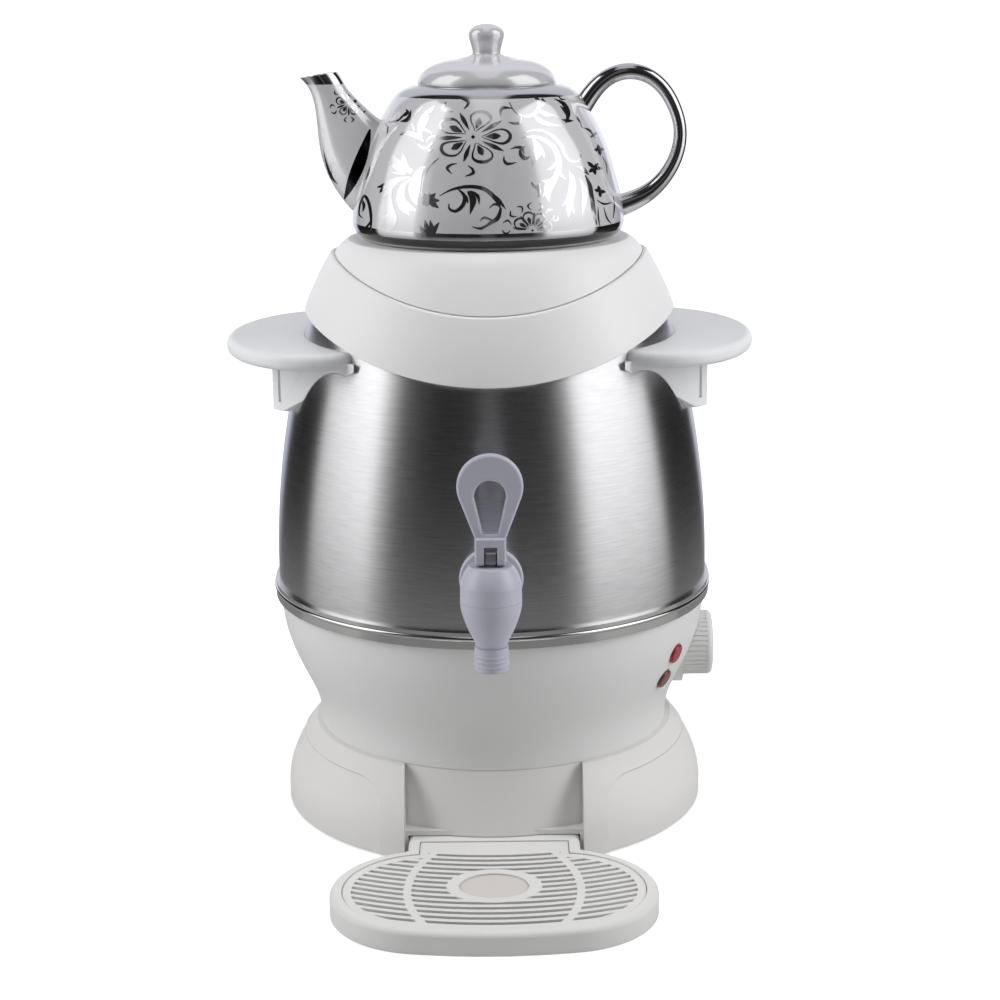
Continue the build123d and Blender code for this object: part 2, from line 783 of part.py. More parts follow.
def along_x(x, z=knob_z):
    """Place at height z on the knob's axis, with the local Z axis along +X."""
    return Location((x, 0, z), (0, 90, 0))


with BuildPart() as thermostat_body:
    with Locations(along_x(thermostat_face_x)):
        Cylinder(knob_recess_r - 1.5, thermostat_face, align=DOWN)
        Cylinder(bushing_r, bushing_length, align=UP)
    with Locations((thermostat_face_x - thermostat_face, 0, knob_z)):
        Box(
            thermostat_depth - thermostat_face,
            thermostat_width,
            thermostat_height,
            align=(Align.MAX, Align.CENTER, Align.CENTER),
        )
    with Locations((thermostat_face_x - thermostat_depth, 0, knob_z)):
        with GridLocations(0, 14, 1, 2):
            Box(tab_length, tab_width, tab_thickness, align=(Align.MAX, Align.CENTER, Align.CENTER))
    with Locations(along_x(thermostat_face_x - 10)):
        Cylinder(shaft_r + running_gap, bushing_length + 12, align=UP, mode=Mode.SUBTRACT)

with BuildPart() as thermostat_nut:
    with BuildSketch(Plane.YZ.offset(knob_seat_x)):
        with Locations((0, knob_z)):
            RegularPolygon(7.5, 6, major_radius=False)
            Circle(bushing_r, mode=Mode.SUBTRACT)
    extrude(amount=2.4)

with BuildPart() as thermostat_shaft:
    with Locations(along_x(thermostat_face_x - 9)):
        Cylinder(shaft_r, shaft_end_x - thermostat_face_x + 9, align=UP)

with BuildPart() as control_knob:
    with Locations(along_x(knob_low_x)):
        Cylinder(knob_r, knob_length, align=UP)
    rim = control_knob.edges().filter_by(GeomType.CIRCLE).sort_by(Axis.X)[-1]
    fillet(rim, knob_edge_r)
    with Locations(along_x(knob_low_x)):
        Cylinder(knob_r - knob_wall, knob_length - 5, align=UP, mode=Mode.SUBTRACT)
    # Hub that grips the shaft
    with Locations(along_x(knob_low_x + knob_hub_depth)):
        Cylinder(knob_hub_r, knob_length - 10, align=UP)
        Cylinder(
            shaft_r, shaft_end_x - knob_low_x - knob_hub_depth, align=UP, mode=Mode.SUBTRACT
        )
    # Fine finger ribs: grooves cut round the side
    with Locations(along_x(knob_low_x)):
        with PolarLocations(knob_r + 0.15, knob_rib_count):
            Cylinder(knob_groove_r, knob_length - 3.4, align=UP, mode=Mode.SUBTRACT)

inlet_pin_spots = [(-7.0, -2.0), (0.0, 2.6), (7.0, -2.0)]
tab_end_y = inlet_seat_y - inlet_depth - 6.4
pin_size = (2.0, inlet_depth + 4.8, 4.0)

with BuildPart() as power_inlet:
    with Locations((0, inlet_seat_y, inlet_z)):
        Box(
            inlet_recess_width,
            inlet_flange_thickness,
            inlet_recess_height,
            align=(Align.CENTER, Align.MIN, Align.CENTER),
        )
        Box(inlet_width, inlet_depth, inlet_height, align=(Align.CENTER, Align.MAX, Align.CENTER))
    with BuildSketch(Plane.XZ.offset(-inlet_seat_y - inlet_flange_thickness)):
        with Locations((0, inlet_z)):
            Rectangle(inlet_width - 2 * inlet_wall, inlet_height - 2 * inlet_wall)
    extrude(amount=inlet_depth - 1, mode=Mode.SUBTRACT)
    with Locations(*[(x, tab_end_y, inlet_z + z) for x, z in inlet_pin_spots]):
        Box(*pin_size, align=(Align.CENTER, Align.MIN, Align.CENTER), mode=Mode.SUBTRACT)

with BuildPart() as inlet_pins:
    with Locations(*[(x, tab_end_y, inlet_z + z) for x, z in inlet_pin_spots]):
        Box(*pin_size, align=(Align.CENTER, Align.MIN, Align.CENTER))

with BuildPart() as terminal_block:
    with Locations((0, block_y, housing_floor_top_z)):
        Box(block_width, block_depth, block_height, align=UP)
        with GridLocations(pole_pitch, 0, pole_count, 1):
            Cylinder(pole_r, block_height + 1, align=UP, mode=Mode.SUBTRACT)

with BuildPart() as terminal_screws:
    with Locations((0, block_y, housing_floor_top_z)):
        with GridLocations(pole_pitch, 0, pole_count, 1):
            Cylinder(pole_r, terminal_screw_height, align=UP)

# ---------------------------------------------------------------- tank and heater
handle_screw_spots = [handle_screw_low_z, handle_screw_high_z]

with BuildPart() as tank:
    add(tank_volume)
    add(barrel(tank_wall, tank_floor_z, tank_rim_z - tank_wall), mode=Mode.SUBTRACT)
    # Open mouth inside the turned-in rim, and the skirt below the floor
    with Locations((0, 0, tank_rim_z)):
        Cylinder(tank_radius(tank_rim_z) - tank_rim_width, 4 * tank_wall, mode=Mode.SUBTRACT)
    with Locations((0, 0, tank_floor_under_z)):
        Cylinder(tank_r - tank_wall, overcut, align=DOWN, mode=Mode.SUBTRACT)
    # Hole for the tap's shank, and holes for the handle screws
    with Locations(Location((0, 0, tap_shank_z), (90, 0, 0))):
        Cylinder(shank_r + trim_gap, 2 * tank_r, align=UP, mode=Mode.SUBTRACT)
    for screw_z in handle_screw_spots:
        with Locations(along_x(0, screw_z)):
            Cylinder(handle_screw_r + trim_gap, 3 * tank_r, mode=Mode.SUBTRACT)

with BuildPart() as trim_ring:
    with BuildSketch(Plane.XZ):
        with Locations((tank_r, housing_top_z)):
            Rectangle(trim_thickness, trim_height, align=(Align.MIN, Align.MIN))
        with Locations((tank_r + trim_bead_r, housing_top_z + trim_height * 0.62)):
            Circle(trim_bead_r)
        with Locations((tank_r, housing_top_z)):
            Rectangle(4, 3 * trim_height, align=(Align.MAX, Align.CENTER), mode=Mode.SUBTRACT)
    revolve(axis=Axis.Z)

with BuildPart() as tank_studs:
    with Locations(*[(x, y, tank_floor_under_z) for x, y in stud_spots]):
        Cylinder(stud_r, tank_floor_under_z - housing_floor_z + stud_tail, align=DOWN)

with BuildPart() as stud_nuts:
    with BuildSketch(Plane.XY.offset(housing_floor_top_z)):
        with Locations(*stud_spots):
            RegularPolygon(4.4, 6, major_radius=False)
            Circle(stud_r, mode=Mode.SUBTRACT)
    extrude(amount=4)

with BuildPart() as heater_plate:
    with Locations((0, 0, heater_under_z)):
        Cylinder(heater_plate_r, heater_plate_thickness, align=UP)
    chamfer(heater_plate.edges().group_by(Axis.Z)[0], heater_chamfer)

element_start = 90 + (360 - element_arc) / 2
element_ends = [on_circle(element_ring_r, element_start + element_arc * end) for end in (0, 1)]

with BuildPart() as heating_element:
    with BuildSketch(Plane.XZ.rotated((0, 0, element_start))):
        with Locations((element_ring_r, element_z)):
            Circle(element_tube_r)
    revolve(axis=Axis.Z, revolution_arc=element_arc)
    with Locations(*[(x, y, element_z) for x, y in element_ends]):
        Sphere(element_tube_r)
        Cylinder(element_tube_r, element_leg, align=DOWN)

with BuildPart() as element_terminals:
    with Locations(*[(x, y, element_z - element_leg) for x, y in element_ends]):
        Cylinder(element_tube_r - 0.6, 4, align=DOWN)
        Cylinder(element_pin_r, element_pin_length, align=DOWN)

with BuildPart() as thermal_cutout:
    with Locations((0, cutout_y, heater_under_z)):
        Cylinder(cutout_r, cutout_height, align=DOWN)
        Box(*cutout_strap, align=DOWN)
    with Locations((0, cutout_y, heater_under_z - cutout_height)):
        with GridLocations(2 * cutout_tab_x, 0, 2, 1):
            Box(tab_thickness, tab_width, tab_length, align=DOWN)

# Insulated leads, each from one terminal to the next
into_block = (0, 0, -1)
out_of_block = (0, 0, 1)
element_pin_z = element_z - element_leg - element_pin_length
cutout_tab_z = heater_under_z - cutout_height - tab_length
thermostat_tab_x = thermostat_face_x - thermostat_depth - tab_length


def pole(number, side):
    """Where a lead meets a pole of the terminal block, left (-1) or right (+1) of its middle."""
    x = pole_pitch * (number - (pole_count + 1) / 2) + side * (lead_r + 0.1)
    return (x, block_y, housing_floor_top_z + terminal_screw_height)


def bulb_back(z, angle, side):
    """Where one of a bulb's two leads leaves its back, and the direction it leaves in."""
    plane = lamp_plane(z, angle, housing_wall + lamp_tail + bulb_length)
    spot = plane.origin + plane.x_dir * side * 2
    return (spot.X, spot.Y, spot.Z), (-plane.z_dir.X, -plane.z_dir.Y, -plane.z_dir.Z)


inlet_tabs = [(x, tab_end_y, inlet_z + z) for x, z in inlet_pin_spots]
heat_left, heat_way = bulb_back(heating_lamp_z, heating_lamp_angle, -1)
heat_right = bulb_back(heating_lamp_z, heating_lamp_angle, 1)[0]
warm_left, warm_way = bulb_back(warm_lamp_z, warm_lamp_angle, -1)
warm_right = bulb_back(warm_lamp_z, warm_lamp_angle, 1)[0]
left_pin, right_pin = [(x, y, element_pin_z) for x, y in element_ends]
stud_side = (-stud_ring_r + stud_r + 0.05, 0, housing_floor_top_z + 7)

# Way of each lead: points from end to end, first direction, last direction
leads = [
    ([inlet_tabs[0], (-15, 54, 73), pole(1, -1)], (0, -1, 0), into_block),
    ([inlet_tabs[1], (-5, 56, 78), pole(2, 1)], (0, -1, 0), into_block),
    ([inlet_tabs[2], (4, 54, 73), pole(3, -1)], (0, -1, 0), into_block),
    ([pole(1, 1), (-12, 30, 80), (thermostat_tab_x, 7, knob_z)], out_of_block, (1, 0, 0)),
    ([pole(2, -1), (-16, 24, 64), (-40, 8, 60), stud_side], out_of_block, (-1, 0, 0)),
    ([pole(3, 1), (8, 40, 78), right_pin], out_of_block, (0, 0, 1)),
    ([heat_left, (50, -22, 70), pole(4, 1)], heat_way, into_block),
    ([heat_right, (56, -16, 64), pole(5, 1)], heat_way, into_block),
    ([warm_left, (44, -26, 60), pole(4, -1)], warm_way, into_block),
    ([warm_right, (52, -22, 54), pole(5, -1)], warm_way, into_block),
    ([(thermostat_tab_x, -7, knob_z), (30, -14, 92), (cutout_tab_x, cutout_y, cutout_tab_z)],
     (-1, 0, 0), (0, 0, 1)),
    ([(-cutout_tab_x, cutout_y, cutout_tab_z), (-16, 18, 84), left_pin], (0, 0, -1), (0, 0, 1)),
]

with BuildPart() as inner_leads:
    for points, first_way, last_way in leads:
        with BuildLine():
            way = Spline(points, tangents=[first_way, last_way])
        with BuildSketch(Plane(origin=way @ 0, z_dir=way % 0)):
            Circle(lead_r)
        sweep(path=way)

# ---------------------------------------------------------------- side handles
def side_handle(side):
    """Flat paddle with a gusseted bracket under it, on the left (-1) or the right (+1)."""
    low_z = handle_top_z - handle_thickness
    root_x = handle_centre_x - 20
    with BuildPart() as piece:
        with BuildSketch(Plane.XY.offset(low_z)):
            with Locations((side * handle_centre_x, 0)):
                Ellipse(handle_reach, handle_half_length)
        extrude(amount=handle_thickness)
        fillet(piece.edges().filter_by(GeomType.ELLIPSE), handle_edge_r)
        # Bracket: narrow outside, as wide as the paddle where it meets the tank
        with BuildSketch(Plane.XY.offset(bracket_low_z)):
            with BuildLine():
                Polyline(
                    (side * bracket_outer_x, -bracket_half_width),
                    (side * bracket_outer_x, bracket_half_width),
                    (side * root_x, handle_half_length),
                    (side * root_x, -handle_half_length),
                    close=True,
                )
            make_face()
        extrude(amount=low_z + handle_edge_r - bracket_low_z)
        # Sloping lower edges of the gussets
        for end in (-1, 1):
            with BuildSketch(Plane.YZ):
                with BuildLine():
                    Polyline(
                        (end * (bracket_half_width + 5), bracket_low_z - 1),
                        (end * handle_half_length, low_z),
                        (end * (handle_half_length + 20), low_z),
                        (end * (handle_half_length + 20), bracket_low_z - 1),
                        close=True,
                    )
                make_face()
            extrude(amount=side * 2 * bracket_outer_x, mode=Mode.SUBTRACT)
        outer = piece.edges().filter_by(Axis.Z).sort_by(lambda edge: abs(edge.center().X))[-2:]
        fillet(outer, bracket_corner_r)
        # Triangular panel sunk into each gusset
        for end in (-1, 1):
            gusset_way = Vector(
                side * (root_x - bracket_outer_x), end * (handle_half_length - bracket_half_width), 0
            )
            face = Plane(
                origin=(side * bracket_outer_x, end * bracket_half_width, low_z),
                x_dir=gusset_way,
                z_dir=Vector(0, 0, 1).cross(gusset_way),
            )
            with BuildSketch(face):
                rise = 1 if face.y_dir.Z > 0 else -1
                with BuildLine():
                    Polyline(
                        (5.0, -rise * 2.5),
                        (29.0, -rise * 2.5),
                        (8.0, -rise * (low_z - bracket_low_z - 4.5)),
                        (5.0, -rise * (low_z - bracket_low_z - 4.5)),
                        close=True,
                    )
                make_face()
            extrude(amount=gusset_panel_depth, both=True, mode=Mode.SUBTRACT)
        # Hollow inside, with two screw pillars
        with BuildSketch(Plane.XY.offset(bracket_low_z + bracket_wall)):
            with Locations((side * root_x, 0)):
                Rectangle(
                    2 * (bracket_outer_x - bracket_wall - root_x),
                    2 * (bracket_half_width - bracket_wall),
                )
        extrude(amount=low_z - bracket_low_z - bracket_wall, mode=Mode.SUBTRACT)
        for screw_z in handle_screw_spots:
            with Locations(along_x(side * (bracket_outer_x - bracket_wall), screw_z)):
                Cylinder(pillar_r, overcut, align=DOWN if side > 0 else UP)
        add(tank_volume, mode=Mode.SUBTRACT)
        for screw_z in handle_screw_spots:
            with Locations(along_x(side * (bracket_outer_x - bracket_wall - 1), screw_z)):
                Cylinder(
                    handle_screw_r, overcut, align=DOWN if side > 0 else UP, mode=Mode.SUBTRACT
                )
    return piece


left_handle = side_handle(-1)
right_handle = side_handle(1)


def handle_seat_x(screw_z):
    """Distance from the axis to the flat inner face of a handle screw's sealing washer."""
    return tank_radius(screw_z + handle_washer_r, tank_wall) - handle_washer_thickness


with BuildPart() as handle_washers:
    for side in (-1, 1):
        for screw_z in handle_screw_spots:
            with Locations(along_x(side * handle_seat_x(screw_z), screw_z)):
                Cylinder(handle_washer_r, 6, align=UP if side > 0 else DOWN)
    add(barrel(tank_wall, tank_floor_z, tank_rim_z), mode=Mode.INTERSECT)
    for screw_z in handle_screw_spots:
        with Locations(along_x(0, screw_z)):
            Cylinder(handle_screw_r, 3 * tank_r, mode=Mode.SUBTRACT)

with BuildPart() as handle_screws:
    for side in (-1, 1):
        for screw_z in handle_screw_spots:
            seat_x = handle_seat_x(screw_z)
            with Locations(along_x(side * seat_x, screw_z)):
                Cylinder(screw_head_r, screw_head_height, align=DOWN if side > 0 else UP)
                Cylinder(
                    handle_screw_r,
                    bracket_outer_x - bracket_wall - 2 - seat_x,
                    align=UP if side > 0 else DOWN,
                )


# ---------------------------------------------------------------- collar and lid
lid_top_slope = (dome_centre_z - lid_shoulder_z, dome_radius(lid_shoulder_z) - dome_centre_r)
lug_spots = [on_circle(lug_ring_r, 45 + 90 * turn) for turn in range(4)]

with BuildPart() as top_collar:
    add(dome(0, collar_low_z - 1, seat_z))
    # Skirt that hangs over the tank, and the flat ring that sits on the tank's rim
    add(barrel(-collar_tank_gap, tank_foot_z, tank_rim_z), mode=Mode.SUBTRACT)
    with Locations((0, 0, tank_rim_z)):
        Cylinder(
            tank_radius(tank_rim_z) + collar_tank_gap,
            rim_seal_thickness,
            align=UP,
            mode=Mode.SUBTRACT,
        )
    add(dome(collar_wall, collar_ring_top_z, seat_z + 1), mode=Mode.SUBTRACT)
    with Locations((0, 0, tank_rim_z)):
        Cylinder(collar_mouth_r, 2 * collar_ring_thickness + 4, align=UP, mode=Mode.SUBTRACT)
    # Arched lower edge, and the arched upper edge that the lid sits on
    add(arch(collar_low_arch, collar_low_z), mode=Mode.INTERSECT)
    add(arch(collar_edge_arch, collar_edge_z), mode=Mode.SUBTRACT)
    seat = top_collar.faces().filter_by(GeomType.CYLINDER).sort_by(SortBy.AREA)
    seat = [face for face in seat if abs(face.radius - collar_edge_arch) < 0.01]
    fillet([edge for face in seat for edge in face.outer_wire().edges()], collar_edge_r)
    with Locations(*[(x, y, tank_rim_z) for x, y in lug_spots]):
        Cylinder(screw_r + trim_gap, 6, align=UP, mode=Mode.SUBTRACT)

with BuildPart() as rim_seal:
    with Locations((0, 0, tank_rim_z)):
        Cylinder(tank_radius(tank_rim_z), rim_seal_thickness, align=UP)
        Cylinder(tank_radius(tank_rim_z) - tank_rim_width, 4, mode=Mode.SUBTRACT)

lug_inner_r = lug_ring_r - 4.0
lug_step_r = tank_radius(tank_rim_z) - tank_rim_width - trim_gap

with BuildPart() as collar_lugs:
    # Steel lugs welded inside the tank's mouth
    with BuildSketch(Plane.XY.offset(tank_rim_z - lug_depth)):
        with PolarLocations(0, 4, start_angle=45):
            with Locations((lug_inner_r, 0)):
                Rectangle(overcut, lug_width, align=(Align.MIN, Align.CENTER))
    extrude(amount=lug_depth - tank_wall - trim_gap)
    with BuildSketch(Plane.XY.offset(tank_rim_z - 3)):
        with PolarLocations(0, 4, start_angle=45):
            with Locations((lug_inner_r, 0)):
                Rectangle(
                    lug_step_r - lug_inner_r - 2 * trim_gap, lug_width, align=(Align.MIN, Align.CENTER)
                )
    extrude(amount=3 + rim_seal_thickness)
    add(barrel(tank_wall + trim_gap, tank_floor_z, tank_rim_z + 2), mode=Mode.INTERSECT)
    with Locations(*[(x, y, tank_rim_z) for x, y in lug_spots]):
        Cylinder(screw_r, overcut, mode=Mode.SUBTRACT)

with BuildPart() as collar_screws:
    with Locations(*[(x, y, collar_ring_top_z) for x, y in lug_spots]):
        Cylinder(screw_head_r - 0.6, 1.8, align=UP)
        Cylinder(screw_r, collar_ring_thickness + lug_depth, align=DOWN)

with BuildPart() as tank_lid:
    with BuildSketch(Plane.XZ):
        rim_z = collar_edge_z - 2
        with BuildLine():
            Line((0, rim_z), (dome_radius(rim_z, collar_step), rim_z))
            ThreePointArc(
                (dome_radius(rim_z, collar_step), rim_z),
                (dome_radius(lid_shoulder_z - 10, collar_step), lid_shoulder_z - 10),
                (dome_radius(lid_shoulder_z, collar_step), lid_shoulder_z),
            )
            TangentArc(
                (dome_radius(lid_shoulder_z, collar_step), lid_shoulder_z),
                (seat_r, seat_z),
                tangent=lid_top_slope,
            )
            Line((seat_r, seat_z), (0, seat_z))
            Line((0, seat_z), (0, rim_z))
        make_face()
    revolve(axis=Axis.Z)
    # Hollow under the lid
    with BuildSketch(Plane.XZ):
        depth = collar_step + lid_wall
        under_z = lid_shoulder_z - 1.5
        with BuildLine():
            Line((0, collar_edge_z - 4), (dome_radius(collar_edge_z - 4, depth), collar_edge_z - 4))
            ThreePointArc(
                (dome_radius(collar_edge_z - 4, depth), collar_edge_z - 4),
                (dome_radius(under_z - 10, depth), under_z - 10),
                (dome_radius(under_z, depth), under_z),
            )
            TangentArc(
                (dome_radius(under_z, depth), under_z),
                (seat_r - 1.5, seat_z - lid_wall),
                tangent=lid_top_slope,
            )
            Line((seat_r - 1.5, seat_z - lid_wall), (0, seat_z - lid_wall))
            Line((0, seat_z - lid_wall), (0, collar_edge_z - 4))
        make_face()
    revolve(axis=Axis.Z, mode=Mode.SUBTRACT)
    add(arch(collar_edge_arch - slip_gap, collar_edge_z + slip_gap), mode=Mode.INTERSECT)
    # Round skirt that plugs the collar's mouth
    with BuildSketch(Plane.XY.offset(collar_ring_z + trim_gap)):
        Circle(lid_skirt_r)
        Circle(lid_skirt_r - lid_skirt_wall, mode=Mode.SUBTRACT)
    extrude(amount=dome_height(lid_skirt_r, depth) + 0.8 - collar_ring_z - trim_gap)
    # Steam opening with a ledge for the steam plate
    with Locations((0, 0, seat_z)):
        Cylinder(steam_opening_r, overcut, mode=Mode.SUBTRACT)
        Cylinder(
            steam_plate_r + trim_gap, steam_plate_thickness + trim_gap, align=DOWN, mode=Mode.SUBTRACT
        )

with BuildPart() as lid_seal:
    with BuildSketch(Plane.XZ):
        with BuildLine():
            Polyline(
                (lid_skirt_r, collar_ring_z + 0.4),
                (collar_mouth_r - slip_gap, collar_ring_z + 0.9),
                (collar_mouth_r - slip_gap, collar_ring_z + 1.4),
                (lid_skirt_r, collar_ring_z + 2.6),
                close=True,
            )
        make_face()
    revolve(axis=Axis.Z)

with BuildPart() as steam_plate:
    with Locations((0, 0, seat_z - trim_gap)):
        Cylinder(steam_plate_r, steam_plate_thickness, align=DOWN)
        Hole(steam_hole_r)
        with PolarLocations(20, 8):
            Hole(steam_hole_r)
        with PolarLocations(38, 16):
            Hole(steam_hole_r)

# ---------------------------------------------------------------- tap
tap_axis = Axis((0, tap_y, 0), (0, 0, 1))
tap_plane = Plane(origin=(0, tap_y, 0), x_dir=(1, 0, 0), z_dir=(0, -1, 0))
flange_face_y = -(tank_radius(tap_shank_z) + washer_thickness)
inner_face_y = -(tank_radius(tap_shank_z, tank_wall) - washer_thickness - 0.8)
nozzle_thread_r = nozzle_bore_r + 0.75
# Bowl of the tap: radii and heights from its lowest end to the seam
bowl_outside = [
    (6.9, tap_body_low_z),
    (8.4, tap_seat_z - 0.5),
    (10.3, tap_seat_z + 3.2),
    (13.05, tap_seat_z + 10.5),
    (tap_body_r, tap_seam_z),
]
bowl_inside = [
    (6.3, tap_seat_z),
    (8.0, tap_seat_z + 3.6),
    (10.7, tap_seat_z + 10.5),
    (11.6, tap_seam_z),
]
thread_end_z = tap_body_low_z - nozzle_thread_length
port_z = tap_shank_z - 3.4
port_r = 4.2


def along_y(y, z=tap_shank_z):
    """Place at height z over the front centre line, with the local Z axis along -Y."""
    return Location((0, y, z), (90, 0, 0))


with BuildPart() as tap_body:
    with BuildSketch(tap_plane):
        with BuildLine():
            Line((0, thread_end_z), (nozzle_thread_r, thread_end_z))
            Line((nozzle_thread_r, thread_end_z), (nozzle_thread_r, tap_body_low_z))
            Line((nozzle_thread_r, tap_body_low_z), bowl_outside[0])
            Spline(bowl_outside, tangents=[(0.4, 1), (0.02, 1)])
            Line(bowl_outside[-1], (0, tap_seam_z))
            Line((0, tap_seam_z), (0, thread_end_z))
        make_face()
    revolve(axis=tap_axis)
    # Neck, shoulder flange and threaded shank
    with Locations(along_y(flange_face_y)):
        Cylinder(tap_neck_r, abs(tap_y) - abs(flange_face_y) - 11, align=UP)
        Cylinder(flange_r, flange_thickness, align=UP)
        Cone(flange_r - 1.6, tap_neck_r, flange_thickness + 7, align=UP)
    circles = tap_body.edges().filter_by(GeomType.CIRCLE)
    fillet(circles.filter_by(lambda edge: abs(edge.radius - flange_r) < 0.01), 1.2)
    with Locations(along_y(flange_face_y)):
        Cylinder(shank_r, abs(flange_face_y) - abs(shank_end_y), align=DOWN)
    # Room for the bonnet above the seam
    with Locations((0, tap_y, tap_seam_z)):
        Cylinder(tap_body_r + trim_gap, overcut, align=UP, mode=Mode.SUBTRACT)
    # Chamber, outlet and water way
    with BuildSketch(tap_plane):
        with BuildLine():
            Line((0, tap_seat_z), bowl_inside[0])
            Spline(bowl_inside)
            Line(bowl_inside[-1], (0, tap_seam_z))
            Line((0, tap_seam_z), (0, tap_seat_z))
        make_face()
    revolve(axis=tap_axis, mode=Mode.SUBTRACT)
    with Locations((0, tap_y, tap_seat_z)):
        Cylinder(outlet_r, overcut, mode=Mode.SUBTRACT)
    with Locations(along_y(shank_end_y + 1)):
        Cylinder(shank_bore_r, abs(tap_y) - abs(shank_end_y) - 16, align=UP, mode=Mode.SUBTRACT)
    with Locations(along_y(shank_end_y - 10, port_z)):
        Cylinder(port_r, abs(tap_y) - abs(shank_end_y) - 12, align=UP, mode=Mode.SUBTRACT)

with BuildPart() as tap_nozzle:
    with BuildSketch(tap_plane):
        with Locations((0, nozzle_low_z)):
            Rectangle(nozzle_r, tap_body_low_z - nozzle_low_z, align=(Align.MIN, Align.MIN))
        for rise in (2.6, 4.9, 7.2):
            with Locations((nozzle_r - 0.25, nozzle_low_z + rise)):
                Circle(0.6)
        with Locations((0, nozzle_low_z)):
            Rectangle(nozzle_bore_r, overcut, align=(Align.MIN, Align.CENTER), mode=Mode.SUBTRACT)
        with Locations((0, thread_end_z)):
            Rectangle(nozzle_thread_r, overcut, align=(Align.MIN, Align.MIN), mode=Mode.SUBTRACT)
    revolve(axis=tap_axis)

with BuildPart() as tap_bonnet:
    with BuildSketch(tap_plane):
        with BuildLine():
            Line((0, tap_seam_z), (tap_body_r, tap_seam_z))
            Line((tap_body_r, tap_seam_z), (tap_body_r - 0.2, bonnet_seat_z - 0.5))
            ThreePointArc(
                (tap_body_r - 0.2, bonnet_seat_z - 0.5),
                (tap_body_r - 1.35, bonnet_seat_z + 3.6),
                (bonnet_top_r, bonnet_top_z - 1),
            )
            ThreePointArc(
                (bonnet_top_r, bonnet_top_z - 1),
                (bonnet_top_r - 0.5, bonnet_top_z - 0.3),
                (bonnet_top_r - 1.4, bonnet_top_z),
            )
            Line((bonnet_top_r - 1.4, bonnet_top_z), (0, bonnet_top_z))
            Line((0, bonnet_top_z), (0, tap_seam_z))
        make_face()
    revolve(axis=tap_axis)
    with Locations((0, tap_y, tap_seam_z)):
        Cylinder(bowl_inside[-1][0] - 1.2, bonnet_band_height + 2, align=UP, mode=Mode.SUBTRACT)
        Cylinder(stem_r + running_gap, 2 * overcut, mode=Mode.SUBTRACT)
    # Sleeve that screws into the bowl, cut away in front of the water way
    with BuildSketch(Plane.XY.offset(tap_seam_z)):
        with Locations((0, tap_y)):
            Circle(bowl_inside[-1][0] - 0.5)
            Circle(bowl_inside[-1][0] - 1.7, mode=Mode.SUBTRACT)
    extrude(amount=-3.4)
    with Locations(along_y(tap_y, port_z)):
        Cylinder(port_r + 0.8, overcut, align=DOWN, mode=Mode.SUBTRACT)

with BuildPart() as tap_stem:
    with Locations((0, tap_y, cup_low_z + 1.6)):
        Cylinder(stem_r, bonnet_top_z - cup_low_z, align=UP)
    # Flat eye in the lever's slot
    with BuildSketch(Plane.YZ):
        with Locations((tap_y, lever_pin_z)):
            Circle(stem_eye_r)
        with Locations((tap_y, lever_pin_z)):
            Rectangle(2 * stem_r + 1, lever_pin_z - bonnet_top_z - 0.5, align=(Align.CENTER, Align.MAX))
        with Locations((tap_y, lever_pin_z)):
            Circle(lever_pin_r + running_gap, mode=Mode.SUBTRACT)
    extrude(amount=lever_slot_width / 2 - 0.6, both=True)

with BuildPart() as lever_pin:
    with Locations(Location((0, tap_y, lever_pin_z), (0, 90, 0))):
        Cylinder(lever_pin_r, lever_width - 1)

with BuildPart() as seat_cup:
    with BuildSketch(tap_plane):
        with BuildLine():
            Polyline(
                (0, cup_low_z),
                (cup_r - 0.8, cup_low_z),
                (cup_r, cup_low_z + 1.2),
                (cup_r, cup_low_z + 2.4),
                (stem_r + 1.6, cup_low_z + 3.4),
                (stem_r + 1.6, cup_top_z),
                (0, cup_top_z),
                close=True,
            )
        make_face()
    revolve(axis=tap_axis)
    with Locations((0, tap_y, cup_low_z + 1.6)):
        Cylinder(stem_r, overcut, align=UP, mode=Mode.SUBTRACT)

spring_low_z = cup_top_z + spring_wire_r
spring_high_z = bonnet_seat_z + 2 - spring_wire_r

with BuildPart() as tap_spring:
    with BuildLine():
        coil = Helix(
            (spring_high_z - spring_low_z) / spring_turns,
            spring_high_z - spring_low_z,
            spring_coil_r,
            center=(0, tap_y, spring_low_z),
        )
    with BuildSketch(Plane(origin=coil @ 0, z_dir=coil % 0)):
        Circle(spring_wire_r)
    sweep(path=coil)

